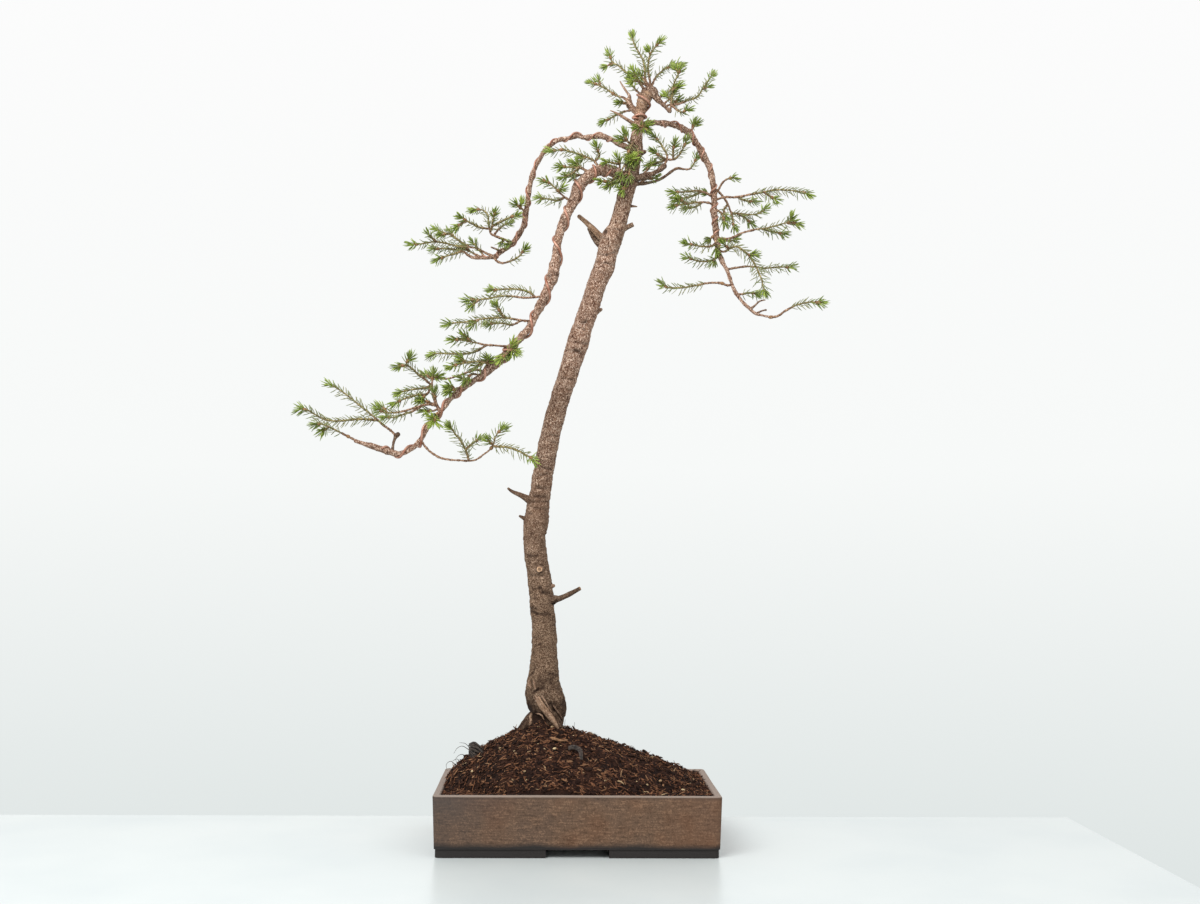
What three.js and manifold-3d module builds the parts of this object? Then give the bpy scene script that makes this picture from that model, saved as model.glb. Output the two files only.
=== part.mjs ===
// A spruce bonsai in its pot, in millimetres. +Z is up and the pot stands on Z = 0.
// The front faces -Y, so a viewer in front of it looks along +Y with +X to the right.

import * as THREE from 'three';
import { mergeVertices } from 'three/addons/utils/BufferGeometryUtils.js';
import Module from 'manifold-3d';

const wasm = await Module();
wasm.setup();

// Driving dimensions

const GAP = 0.3; // between two pieces that touch
const PLACE = new THREE.Vector3(16, 6, 0); // brings the middle of the whole tree over the origin

const POT = {
  length: 275,
  width: 172,
  height: 58,
  taper: 2, // each wall leans in by this much from rim to foot
  wall: 7.5,
  corner: 5,
  edge: 1.4, // rounding of the rim
  foot: 8,
  footInset: 0.8,
  footWidth: 15,
  slotFront: 60, // the arch between two feet, on the long sides
  slotSide: 56,
  floor: 8,
  hole: 18,
  holeApart: 116,
};

const SCREEN = { size: 32, thickness: 1, bar: 3, cells: 2 };

const SOIL = {
  edge: 57.5, // height along the rim
  mound: 60, // height of the mound above that
  peakX: -33,
  peakY: -9,
  slope: 0.6, // how the mound rises from the rim
  lean: 0.1, // what that gains to the right and loses to the left
  columns: 18,
  rows: 12,
  lump: 2.6,
};

const NEEDLE = {
  length: 10,
  base: 2, // length of the root along its twig
  pitch: 11.3, // from one whorl to the next
  lean: 52, // degrees between a needle and its twig
  leanAtTip: 24,
  reach: 8.5, // how far needles stand past the end of their twig
};

const TWIG = { base: 2.3, tip: 1.8, collar: 1.3, stub: 1.6, bareStep: 12 };

const WIRE = { thick: 2.6, thin: 1.8, steps: 6 };

// The lines of the tree are its front view, [x, z] in the upright plane through the pot's middle, as
// seen from EYE. Depth is how far behind that plane a point really stands, on its line of sight.
const EYE = new THREE.Vector3(-30, -1474, 297);

// Limbs of the one piece of wood: points are [x, z, depth, width].
const LIMBS = {
  trunk: {
    sides: 9,
    spacing: 15,
    rough: 0.13,
    line: [
      [-36, 82, 8, 36], [-36, 98, 6, 40], [-35, 108, 5, 42], [-32, 117, 4, 36], [-30.5, 127, 3, 35],
      [-31.5, 137, 2, 38.5], [-33.5, 148, 1, 37.5], [-34, 159, 0, 32], [-34, 171, 0, 29],
      [-33.5, 190, 1, 25.5], [-34.5, 214, 3, 24.5], [-37, 240, 6, 25], [-39.5, 263, 8, 24],
      [-43.5, 286, 10, 24], [-44.8, 304, 11, 22.5], [-43.5, 318, 12, 25.5], [-41.5, 336, 12, 23],
      [-39, 353, 11, 21.5], [-36, 373, 10, 20.5], [-32.5, 394, 8, 20.5], [-27, 420, 5, 20.2],
      [-19.5, 447, 2, 20.2], [-12.5, 471, 0, 20.5], [-5.5, 494, -2, 22], [-2, 505, -3, 23.5],
      [1.8, 518, -4, 20], [9, 540, -6, 20.5], [16, 563, -8, 19.5], [23.5, 582, -10, 21.5],
      [26.2, 595, -11, 20.5], [30, 609, -12, 24.5], [36, 622, -13, 18], [40.5, 638, -14, 16.7],
      [44.5, 655, -14, 17], [49.5, 673, -14, 16.5], [52.5, 690, -13, 14.8], [54, 701, -13, 16.5],
      [55.3, 712, -13, 13], [56.3, 723, -13, 11.8], [57.3, 733, -14, 10.6], [59.3, 742, -14, 12],
      [61.3, 751, -15, 11.8], [64.3, 759, -16, 13], [67.5, 764.5, -17, 12.5], [70, 768.5, -17, 8],
    ],
  },
  lower_left: {
    sides: 6,
    spacing: 12,
    rough: 0.1,
    line: [
      [48, 669, -14, 12], [40, 675.5, -17, 12.5], [32, 680, -20, 12], [24, 682, -23, 11.5],
      [16, 681, -25, 11.5], [8, 676, -28, 11.5], [1, 670, -31, 12], [-5, 661, -34, 12.5],
      [-8.5, 650, -37, 11], [-13, 640, -40, 9], [-17.5, 630, -42, 9], [-21.5, 619, -44, 9.5],
      [-24.5, 606, -46, 9], [-26, 594, -48, 9], [-27, 584, -50, 11.5], [-29.5, 571, -52, 11.5],
      [-33.5, 559, -54, 10], [-38, 548, -55, 10], [-43, 537, -56, 8.5], [-48, 526, -57, 8],
      [-54, 515, -58, 8.5], [-61, 507, -58, 8], [-68, 499, -58, 8.5], [-76, 489, -58, 9],
      [-86, 479.5, -58, 8.5], [-95, 471.5, -58, 7.5], [-104, 464.5, -57, 6.5], [-113, 458.5, -56, 6],
      [-122, 452, -55, 6.5], [-131, 443.5, -54, 5.5], [-138, 434.5, -53, 5], [-146, 424.5, -52, 4.8],
      [-154, 415, -50, 4.8], [-160, 403, -48, 5.5], [-165, 396, -47, 6], [-174, 389, -46, 5],
      [-184, 386, -46, 4.6], [-195, 388.5, -46, 5.5], [-206, 392, -45, 4.6], [-218, 395.5, -44, 3.8],
      [-229, 399, -44, 3],
    ],
  },
  upper_left: {
    sides: 5,
    spacing: 12,
    rough: 0.1,
    line: [
      [54, 704, -13, 8], [46, 706, -11, 7], [38, 709.5, -8, 6.5], [29, 714, -4, 6], [20, 717, 0, 6],
      [10, 716.5, 5, 6], [1, 715.5, 9, 5.5], [-6, 717, 13, 6], [-14, 714.5, 16, 5.5],
      [-24, 712.5, 20, 5], [-33, 707, 24, 5], [-40, 700, 28, 4.8], [-45, 690, 31, 4.8],
      [-50.5, 679, 34, 5], [-54, 664, 37, 5.4], [-56, 649, 39, 5.5], [-57.5, 636, 41, 5.5],
      [-59.5, 624, 42, 5.2], [-65, 612, 43, 5], [-71, 604, 44, 5], [-79, 597, 45, 4.8],
      [-87, 591, 46, 4.6], [-94, 588.5, 46, 4], [-103, 588, 47, 3.2], [-112, 588.5, 48, 3],
      [-119, 592, 49, 2.8],
    ],
  },
  right: {
    sides: 5,
    spacing: 13,
    rough: 0.08,
    line: [
      [56.5, 727, -13, 7.5], [64, 730.5, -11, 6.5], [73, 732, -8, 6], [83, 732, -4, 7],
      [93, 730.5, 0, 7], [103, 727, 3, 6.8], [110, 722, 6, 6.6], [117, 713, 8, 6.6],
      [123, 702.5, 10, 6.5], [129, 691, 11, 6.3], [133.5, 680, 12, 6], [135.5, 666, 12, 6],
      [136.5, 651, 12, 6], [136.3, 640, 12, 6.3], [138, 625, 11, 5.6], [139, 611, 9, 5.4],
      [141, 598, 7, 5.2], [145, 588, 4, 5], [150, 579, 1, 4.8], [154, 568, -2, 4.3],
      [158, 558, -5, 4.1], [165, 548, -9, 4], [172.5, 540.5, -12, 4], [179, 535, -14, 3.3],
      [188, 532.5, -17, 2.7], [198, 530.7, -20, 2.6],
    ],
  },
  shoulder: {
    sides: 5,
    spacing: 11,
    rough: 0.08,
    line: [
      [66, 763, -17, 10], [71.5, 764.5, -18, 10.5], [75, 760, -19, 8.5], [78.5, 755.5, -20, 5.8],
      [83.8, 750.6, -21, 5], [88, 746.5, -22, 4.8], [91.3, 743.3, -23, 4.6],
    ],
  },
  leader: {
    sides: 5,
    spacing: 11,
    rough: 0.1,
    line: [
      [59, 741.5, -13, 8], [53.7, 745.2, -9, 7.2], [49, 748.8, -6, 7], [47, 754.6, -4, 6.8],
      [47.9, 759.4, -3, 4.4], [45.3, 763.5, -2, 3], [42.2, 768.2, -1, 2.6], [39.5, 772.4, 0, 2.2], [37.9, 775.5, 1, 1.8],
    ],
  },
  mid_right: {
    sides: 5,
    spacing: 11,
    rough: 0.08,
    line: [
      [50, 671, -14, 7], [58, 674, -20, 5.6], [66, 676.5, -24, 5.2], [74, 679.5, -28, 5],
      [81, 684, -31, 4.6], [86.5, 689, -33, 4.4],
    ],
  },
  low_right: {
    sides: 4,
    spacing: 12,
    rough: 0.08,
    line: [
      [47, 665, -14, 6], [56, 667.5, -8, 4.4], [65, 668.5, -3, 3.6], [74, 670.5, 1, 3.2],
      [82, 674, 5, 3], [89, 679, 8, 2.8], [95, 683.8, 10, 3],
    ],
  },
  trunk_stub: {
    sides: 4,
    spacing: 12,
    rough: 0.05,
    line: [[-35, 234, 5, 11], [-25, 240, 1, 9], [-19, 241, -1, 5.6], [-8, 246, -5, 4.6], [2, 251.5, -9, 4]],
  },
  old_stub_left: {
    sides: 4,
    spacing: 12,
    rough: 0.05,
    line: [[-44, 335, 12, 10], [-51, 340.5, 8, 7.5], [-59, 345, 4, 5], [-68, 349, 0, 3.6], [-73, 352.5, -2, 3]],
  },
  small_stub_left: {
    sides: 4,
    spacing: 9,
    rough: 0.05,
    line: [[-46, 315, 12, 8], [-54, 321, 10, 5], [-61, 324.5, 8, 3.2]],
  },
  fork_stub: {
    sides: 4,
    spacing: 12,
    rough: 0.05,
    line: [
      [30, 603, -12, 10], [20, 611, -14, 7.2], [11, 620.5, -17, 6.2], [2, 628.5, -19, 5.2], [-4.5, 634, -21, 4.6],
    ],
  },
  torn_bark: {
    sides: 4,
    spacing: 11,
    rough: 0.05,
    line: [[24, 600, -10, 8], [16, 606.5, -9, 6.5], [11, 613, -8, 5], [6, 621, -7, 2]],
  },
  right_stub: {
    sides: 4,
    spacing: 9,
    rough: 0.05,
    line: [[38, 618, -13, 8], [46, 622, -14, 4.6], [53, 625.5, -15, 4.2]],
  },
  side_nub: {
    sides: 4,
    spacing: 9,
    rough: 0.05,
    line: [[10, 531, -5, 9], [18, 535.5, -6, 5], [22, 537, -7, 3]],
  },
  low_nub: {
    sides: 4,
    spacing: 9,
    rough: 0.05,
    line: [[-33, 253, 7, 9], [-27, 253.5, 5, 4.6], [-24, 254, 4, 2.6]],
  },
  high_nub: {
    sides: 4,
    spacing: 9,
    rough: 0.05,
    line: [[55, 699, -13, 9], [62, 701, -14, 6], [66, 701.5, -15, 3]],
  },
  thorn: {
    sides: 4,
    spacing: 9,
    rough: 0.05,
    line: [[46, 644.5, -14, 4], [52, 644.3, -14, 2.4], [57, 644, -14, 1.4]],
  },
  cut_knot: {
    sides: 6,
    spacing: 6,
    rough: 0.04,
    line: [[-39.5, 270, 6, 9], [-39.5, 270, -4, 8.4], [-39.5, 270.5, -5.6, 6]],
  },
  dead_spike: {
    sides: 4,
    spacing: 11,
    rough: 0.05,
    line: [
      [55, 728, -13, 6], [51, 731.5, -17, 4.2], [44.5, 735.6, -21, 3.4], [36, 740.8, -25, 2.4], [28, 744.3, -29, 1.2],
    ],
  },
  pad_dead_twig: {
    sides: 4,
    spacing: 11,
    rough: 0.04,
    line: [[-82, 594.5, 45, 3], [-87, 597, 40, 2], [-93.5, 599.5, 37, 1.4]],
  },
  right_dead_twig: {
    sides: 4,
    spacing: 11,
    rough: 0.04,
    line: [[174, 539, -12, 3], [179, 543, -16, 1.9], [183.5, 547.3, -19, 1.8], [190, 549, -22, 1.4]],
  },
  right_bud_twig: {
    sides: 4,
    spacing: 9,
    rough: 0.04,
    line: [[180, 534.5, -14, 2.6], [185, 537, -11, 1.8], [189, 538.3, -9, 1.8], [191, 538.5, -8, 3.2]],
  },
  end_knot: {
    sides: 4,
    spacing: 9,
    rough: 0.05,
    line: [
      [-190, 387, -46, 3.6], [-189.4, 394, -44, 2.6], [-187.8, 401, -42, 2.8], [-185.5, 405, -41, 5],
      [-182.5, 406.5, -40, 4.6],
    ],
  },
  riser: {
    sides: 4,
    spacing: 11,
    rough: 0.06,
    line: [[-142, 429, -52, 4.4], [-146.5, 437, -50, 3.4], [-149, 445, -48, 3.2], [-150.5, 452, -47, 3]],
  },
  root_left: {
    sides: 5,
    spacing: 11,
    rough: 0.08,
    line: [[-38, 128, 3, 12], [-45, 121, 0, 12], [-52, 113, -4, 11], [-60, 104, -9, 9], [-70, 93, -14, 6]],
  },
  root_front: {
    sides: 5,
    spacing: 11,
    rough: 0.08,
    line: [[-41, 143, -12, 5], [-36, 133, -16, 5], [-28, 123, -17, 5.4], [-21, 114, -18, 5.4], [-17, 101, -18, 4]],
  },
  root_right: {
    sides: 5,
    spacing: 11,
    rough: 0.08,
    line: [[-27, 126, -4, 12], [-21.5, 118, -5, 11], [-17, 109, -7, 9], [-11, 96, -9, 5]],
  },
  root_back: {
    sides: 5,
    spacing: 11,
    rough: 0.08,
    line: [[-34, 126, 12, 12], [-32, 117, 22, 11], [-29, 107, 31, 8], [-26, 96, 38, 5]],
  },
};
const BURIED = ['trunk', 'root_left', 'root_front', 'root_right', 'root_back'];

// Copper wires: [x, z] where each turn crosses the front of its limb, and hand 1 for a right-hand helix.
const WIRES = {
  wire_lower_left: {
    limb: 'lower_left',
    width: WIRE.thick,
    hand: -1,
    passes: [
      [28, 681], [12, 678.5], [-4.5, 661], [-16, 633], [-25.5, 600], [-34.5, 557], [-51, 520], [-74, 492],
      [-95, 471.5], [-120, 453], [-140, 432], [-159, 405], [-178, 387.5], [-200, 390],
    ],
  },
  wire_upper_left: {
    limb: 'upper_left',
    width: WIRE.thin,
    hand: -1,
    passes: [
      [32, 712.5], [13, 717], [-12, 715], [-33, 707], [-49, 682], [-56, 652], [-58.5, 629], [-67, 609],
      [-84, 593], [-102, 588],
    ],
  },
  wire_right: {
    limb: 'right',
    width: WIRE.thin,
    hand: 1,
    passes: [
      [80, 732], [99, 728.5], [114, 717], [124, 700], [132, 684], [136, 661], [136.5, 645], [137.3, 631],
      [138.6, 618], [140.5, 601],
    ],
  },
  wire_top: {
    limb: 'trunk',
    width: WIRE.thick,
    hand: -1,
    passes: [[57, 734.5], [57.8, 739], [63.5, 757]],
  },
};

// Sprays of needles. Each grows from a limb and lists its twigs as [reach, bare, [x, z], [x, z], ...]:
// how far the tip lies behind the start, how many leading points stay bare, and the twig's line out to
// the tips of its needles. A third number in a point is its own depth behind the start. Every twig
// after the first forks from the nearest earlier one.
const SPRAYS = {
  spray_top_pale: ['trunk', [14, 2, [66, 770], [64, 779], [63.5, 789], [61.5, 798], [58.5, 804], [55, 810],
    [52, 816], [50.5, 823], [50, 832]]],
  spray_top: ['trunk', [-16, 2, [69, 771], [68.5, 779], [67, 788], [67.5, 797], [69.5, 805], [74, 812],
    [79, 818], [86, 824]], [-4, 1, [69.5, 805], [66, 809.5], [62, 813]]],
  spray_top_left: ['trunk', [20, 2, [63, 764], [56, 776], [50, 781], [44.5, 784.5], [40, 788.5], [35, 792.5],
    [30, 794.5], [28, 800], [25.5, 806], [25, 813]], [8, 2, [31, 794.5], [25, 791.5], [17, 787]]],
  spray_top_bright: ['trunk', [-22, 2, [64, 765], [60, 772], [57, 777], [53, 784], [50, 794]],
    [-12, 1, [58, 776], [51, 775.5], [44, 773]]],
  spray_top_right: ['trunk', [22, 2, [70, 768], [74, 778], [78.5, 784], [85, 789.5], [91, 792.5], [93, 801]],
    [10, 1, [90, 792], [98, 794.5], [108, 793.5]]],
  spray_shoulder: ['shoulder', [-14, 2, [91, 745], [91, 751], [92, 759], [92.5, 767], [94.5, 775], [98, 783],
    [100, 789], [102, 798]], [-8, 1, [92.5, 767], [98.5, 771], [106, 776]],
    [8, 1, [91.5, 756], [86, 761], [79, 765]], [6, 1, [99, 786], [94, 792], [92, 797]],
    [24, 3, [91.2, 752.5], [97.5, 752], [104, 754.5], [111, 757.5], [117, 759.5], [121, 764], [124.5, 770],
      [128.5, 776], [132.5, 782], [139, 791]], [8, 1, [124, 769], [130, 771], [137, 771]],
    [-20, 2, [91.1, 751.5], [96.5, 747], [102.5, 744], [108, 747], [116, 749.5]]],
  spray_leader: ['leader', [20, 3, [49, 753], [42, 758], [36, 759.5], [31, 762], [25, 766], [17.5, 770],
    [9, 773], [0, 775]], [10, 1, [17.5, 770], [16, 776], [16, 784]]],
  spray_leader_low: ['leader', [16, 2, [50.5, 741], [43, 743.5], [35.5, 740], [29, 736.5], [22, 733], [14, 730]]],
  spray_front: ['trunk', [-26, 2, [57, 725, 0], [58, 727, -12], [64, 729, -19], [74, 733, -25]],
    [-10, 1, [60, 727.5], [55, 727.5], [49, 728.5]], [-6, 1, [62, 728], [67, 724], [72, 721]]],
  spray_trunk_left: ['trunk', [-16, 2, [54, 707, 0], [47.5, 711, -9], [44, 716, -12], [41.5, 728, -15]],
    [-6, 1, [46, 713], [39, 713.5], [31, 714]]],
  spray_trunk_yellow: ['trunk', [-20, 2, [53, 690, 0], [51, 692, -14], [47, 694, -17], [41, 696, -20]],
    [-6, 1, [49.4, 693], [53, 696.5], [58, 699.5]]],
  spray_crotch: ['trunk', [-22, 2, [47, 662, 0], [44, 663, -14], [39, 663, -17], [32, 661, -20]],
    [-4, 1, [43, 663], [41, 658], [39, 652]]],
  spray_middle: ['mid_right', [12, 2, [84, 687], [87.5, 697], [84, 705], [80, 711], [75, 717], [67, 724]],
    [-16, 2, [85, 688], [95, 694.5], [100, 699], [104, 706], [107, 713], [109, 722]],
    [-16, 1, [94, 694], [93.5, 700], [94, 707], [98, 718]],
    [-12, 1, [86.5, 692], [80, 697], [74, 701.5], [66, 703.5]], [10, 1, [86, 690], [77, 690.5], [70, 688.5], [62, 682]]],
  spray_middle_low: ['low_right', [14, 4, [94, 683], [98.5, 685], [105, 684], [111, 684.5], [115, 690],
    [118, 697], [121, 706]]],
  spray_arch: ['right', [12, 2, [111, 721], [114, 728.5], [115, 733], [117, 740]],
    [-6, 1, [114.5, 730], [119, 733], [124, 737]]],
  spray_right_long: ['right', [-44, 6, [136.5, 651], [143, 654.5], [149, 655.5], [157, 655.5], [166, 657],
    [175, 659], [183, 660.5], [192, 662.5], [201, 664], [211, 664], [221, 663], [230, 661.5], [242, 657]],
    [-12, 1, [188, 661.5], [195, 657], [201, 654], [208, 651]],
    [16, 1, [160, 656], [168, 652.5], [176, 651.5], [186, 651.5]]],
  spray_right_hook: ['right', [-18, 4, [136, 656], [141.5, 664.5], [145, 670.5], [150, 674.5], [157, 675.5],
    [165, 671.5]]],
  spray_right_crossing: ['right', [34, 5, [135, 666], [143, 659], [148, 652.5], [151.5, 646], [154.5, 639.5],
    [163, 638.5], [172, 637.5], [181, 638.5], [187.5, 642], [195, 650]],
    [14, 1, [161, 638.5], [168, 634.5], [174, 629], [179, 621]],
    [-20, 1, [154, 640], [155.5, 633], [156.5, 626], [160, 617]], [-14, 1, [150.5, 648], [146.5, 642],
      [148, 636], [150, 628]]],
  spray_right_low: ['right', [-38, 7, [138.8, 613], [146, 612], [152.5, 612.5], [158, 614.5], [164.5, 618],
    [173, 620.5], [181, 622.5], [190, 623.5], [199, 626], [207, 628.5], [214, 631], [219, 643]],
    [-8, 1, [212, 629.5], [221, 629.5], [232, 625]], [14, 1, [186, 623], [196, 620.5], [206, 618.5], [217, 618]]],
  spray_right_thick: ['right', [-34, 2, [140.5, 600], [147, 598.5], [153, 602], [159, 604], [165, 601.5],
    [171, 596.5], [175.5, 591], [179.5, 584.5], [183, 577], [186, 569], [188, 561], [191, 550]],
    [-12, 1, [152, 601.5], [147, 606], [142, 611]],
    [-10, 1, [172, 595], [178, 596], [184, 594]]],
  spray_right_level: ['right', [30, 5, [149.5, 580], [157, 581.5], [163, 582.5], [171, 583.5], [180, 583],
    [188, 582], [196, 582.5], [205, 583.5], [214, 583.5], [225, 586]]],
  spray_right_across: ['right', [30, 5, [155.5, 564], [150, 563.5], [145, 565.5], [136, 566], [127, 565],
    [121, 563.5], [113, 562], [105, 560.5], [97, 560], [89, 560.5], [83.5, 563.5], [77, 570]]],
  spray_right_small: ['right', [18, 2, [160, 554.5], [165.5, 554.5], [172, 556], [179, 555.5], [188, 552]]],
  spray_right_end: ['right', [-14, 4, [195, 531], [203, 532.5], [209, 537], [216, 541], [222, 544], [230, 546.3],
    [238, 547.5], [246, 547], [257, 548]]],
  spray_inside_high: ['right', [-26, 3, [135.7, 655], [129, 659], [121, 661.5], [112, 661.2], [104, 660],
    [95, 660], [86, 660.5]], [24, 1, [123, 661], [115, 656.5], [106, 654], [98, 653.5], [90, 652]]],
  spray_inside_low: ['right', [-40, 3, [136.5, 647], [129, 649.5], [121, 649.5], [113, 648.5], [104, 647],
    [95, 645.5], [87, 642]], [-12, 1, [108, 648], [101, 651.5], [91, 650]],
    [22, 1, [124, 649.5], [116, 644.5], [108, 643.5], [101, 642]]],
  spray_inside_lower: ['right', [-22, 2, [139.5, 608], [133, 604], [125, 603.5], [117, 604.5], [109, 606.5],
    [101, 609]]],
  spray_inside_lowest: ['right', [24, 2, [142, 595], [136, 590], [128, 588], [119, 588.5], [110, 591.5],
    [101, 594]]],
  spray_pad: ['upper_left', [8, 5, [-72, 603], [-78, 607], [-85, 609.5], [-93, 613], [-95, 619], [-96, 626],
    [-97, 633], [-102, 637.5], [-109, 638], [-120, 634]],
    [-18, 1, [-93.7, 615.5], [-92, 621], [-91.5, 627], [-90, 633], [-87, 641]],
    [-26, 1, [-91, 621], [-85, 625], [-78, 628.5], [-71, 631.5], [-60, 634.5]],
    [14, 2, [-90, 612], [-86, 617.5], [-81, 621.5], [-75, 625], [-67, 627]],
    [-20, 2, [-94.5, 618.5], [-99.5, 618.8], [-106, 620], [-112, 623], [-118, 626], [-124, 629.5], [-132, 632]],
    [8, 1, [-118, 626], [-124, 623], [-129, 618.5], [-133, 611]], [-14, 1, [-80, 608], [-82, 604], [-86, 600]]],
  spray_pad_far: ['upper_left', [-6, 5, [-90, 589.5], [-97, 592.5], [-104, 596], [-110, 598.5], [-117, 599],
    [-125, 599.5], [-133, 601], [-141, 603], [-149, 603.8], [-157, 603], [-165, 601.5], [-173, 601], [-183, 603]],
    [30, 1, [-115, 599], [-122, 603], [-128, 607], [-134, 611.5], [-141, 613.5], [-148, 616], [-157, 620]],
    [-18, 1, [-149, 604], [-153, 607.5], [-157, 611.5], [-161, 618]],
    [8, 1, [-132, 610], [-136, 615.5], [-137, 622]], [-12, 1, [-137, 612.5], [-144, 611], [-152, 612.5]],
    [14, 1, [-116, 599], [-124, 596], [-133, 596.5], [-142, 597], [-151, 596.5], [-161, 598]]],
  spray_pad_low: ['upper_left', [-16, 2, [-116, 590.5], [-122, 594.5], [-128, 592.5], [-135, 590.5], [-142, 588],
    [-148, 585.5], [-156, 583]]],
  spray_pad_hanging: ['upper_left', [-30, 4, [-90, 590], [-87, 585], [-81, 583], [-75, 584.5], [-69, 587],
    [-64, 590.5], [-60, 596], [-53, 604]]],
  spray_pad_tuft: ['upper_left', [-18, 2, [-57.5, 636], [-62.5, 640], [-66.5, 643], [-75, 648]],
    [-6, 1, [-63.5, 640.8], [-62.5, 646], [-65, 653]]],
  spray_upper: ['lower_left', [-16, 3, [-9, 648], [-18, 652.5], [-23, 657], [-28, 662], [-34, 667], [-40, 669.3],
    [-48, 669]], [-8, 1, [-25, 659], [-20, 662], [-14, 663]], [26, 1, [-18, 652.5], [-25, 649], [-33, 650], [-42, 651], [-52, 651]]],
  spray_crown_left: ['lower_left', [-18, 2, [8, 676], [-1, 683], [-8, 683.5], [-15, 684], [-22, 684.5], [-32, 684]],
    [-14, 1, [-4, 683.3], [-10, 678], [-17, 674.5], [-27, 671]], [10, 1, [-2, 683], [-8, 688], [-17, 691.5]]],
  spray_crown_long: ['lower_left', [20, 2, [17, 681], [13, 690], [6, 694], [-1, 697], [-8, 699], [-15, 701],
    [-22, 702], [-30, 701], [-42, 702]], [10, 1, [4, 695], [-2, 692.5], [-9, 693]],
    [-16, 1, [12.5, 690.3], [17, 696], [15, 704], [11, 713]]],
  spray_crown_tuft: ['lower_left', [-8, 2, [36, 678], [38.5, 686.5], [37, 692.5], [33, 702]],
    [-16, 1, [38, 687], [32, 689], [25, 690], [17, 689]]],
  spray_under: ['lower_left', [-22, 2, [40, 676, 0], [37, 668.5, -4], [29, 669.5, -10], [21, 670, -16],
    [11, 671, -22]], [-10, 1, [33, 669], [27, 665.5], [19, 663.5]]],
  spray_left_first: ['lower_left', [-20, 4, [-37, 549], [-50, 548], [-59, 547.5], [-68, 548.5], [-77, 549],
    [-86, 548], [-95, 546], [-104, 545], [-113, 544.5], [-125, 543]], [-12, 1, [-104, 545], [-110, 540], [-116, 531]],
    [28, 1, [-47, 548.2], [-53, 553], [-61, 555.5], [-70, 556.3], [-79, 556], [-88, 555], [-101, 556]]],
  spray_left_second: ['lower_left', [-36, 3, [-49, 523], [-60, 524], [-69, 525.3], [-78, 526.5], [-87, 526.3],
    [-97, 525.5], [-107, 523.7], [-117, 521.7], [-128, 520.5], [-144, 519]],
    [-10, 1, [-78, 526.5], [-82.5, 532], [-86, 537.5], [-91, 545]], [-6, 1, [-105, 524], [-110, 519.5], [-117, 513]],
    [26, 2, [-61, 524], [-70, 519.5], [-80, 520.8], [-90, 520.5], [-103, 519]]],
  spray_left_third: ['lower_left', [-20, 5, [-70, 497], [-82, 497.5], [-91, 498], [-99, 498.5], [-105, 500],
    [-112, 501.5], [-117, 506], [-125, 513]], [-14, 1, [-112, 501.5], [-121, 503.3], [-129, 503], [-139, 502]],
    [26, 2, [-96, 498.3], [-101, 495], [-107, 491.5], [-114, 489.5], [-122, 488.7], [-131, 488.7], [-140, 489],
      [-149, 488.3], [-159, 484]]],
  spray_left_fourth: ['lower_left', [-28, 2, [-89, 476.5], [-97, 480], [-105, 481], [-113, 480.2], [-121, 479],
    [-129, 476.5], [-139, 472.5]], [-6, 1, [-117, 479.7], [-122, 483.5], [-131, 485]],
    [-10, 1, [-95, 479], [-93, 484], [-97, 488]]],
  spray_left_thin: ['lower_left', [34, 7, [-97, 470], [-104, 472.5], [-111, 471.5], [-118, 468.8], [-126, 465.8],
    [-134, 463.5], [-141, 462.8], [-149, 465], [-160, 470]]],
  spray_left_tuft: ['lower_left', [-26, 2, [-77, 488, 0], [-75, 490, -11], [-71, 496, -13], [-66, 508, -16]],
    [-10, 1, [-74, 491.5], [-80, 485.5], [-88, 478.5]], [-4, 1, [-72, 494], [-66, 492], [-58, 489]]],
  spray_left_small: ['lower_left', [-14, 2, [-126, 448.5], [-129.5, 454], [-133.5, 455.5], [-140, 458]],
    [-6, 1, [-131, 454.5], [-136, 450.5], [-142, 448]]],
  spray_riser: ['riser', [8, 3, [-150, 448], [-151, 457], [-150.5, 463], [-150, 468], [-150, 477]],
    [12, 1, [-150.5, 462], [-156, 466], [-165, 470]], [-6, 1, [-150.3, 464], [-144, 465.5], [-136, 468]],
    [-26, 3, [-150.8, 455], [-155, 459], [-160, 463.5], [-165, 467], [-171, 472.5], [-177, 478], [-174, 484], [-172, 492]],
    [-8, 1, [-175.5, 476.5], [-184, 475.5], [-194, 473]], [18, 1, [-151, 457], [-157, 453.5], [-165, 452.5],
      [-174, 451], [-182, 449], [-191, 444]],
    [-20, 2, [-150.8, 454], [-156.5, 447], [-164, 446.5], [-172, 444.5], [-180, 441.5], [-187, 438], [-195, 433]],
    [-8, 1, [-157, 447], [-162, 441.5], [-170, 437]]],
  spray_reaching: ['riser', [-34, 5, [-145.5, 435.5], [-156, 436.5], [-165, 434], [-174, 431], [-183, 428.5],
    [-192, 427.5], [-199, 428], [-205, 431], [-213, 436]], [8, 1, [-196, 427.7], [-200, 432.5], [-209, 438]],
    [16, 2, [-160, 435.5], [-171, 429], [-180, 426], [-189, 423], [-197, 423], [-207, 421]]],
  spray_knot: ['end_knot', [22, 4, [-186.5, 404], [-192, 409.5], [-199, 414.5], [-206, 420.5], [-213, 426],
    [-221, 432.5], [-230, 439.5], [-239, 446.5], [-249, 453], [-263, 460]],
    [-30, 1, [-205, 419.5], [-213, 420.3], [-222, 420.8], [-232, 420], [-242, 418.8], [-252, 418.7], [-261, 421],
      [-269, 425], [-276, 429], [-283, 430], [-292, 427]]],
  spray_end: ['lower_left', [14, 3, [-224, 397.5], [-234, 402.5], [-241, 406], [-249, 410], [-257, 413.5],
    [-265, 415.5], [-277, 412]], [-12, 1, [-254, 412.5], [-260, 409], [-268, 404]]],
  spray_loop: ['lower_left', [-8, 11, [-161, 400], [-156, 392.5], [-149, 386.5], [-141, 382.3], [-132, 380.5],
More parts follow.
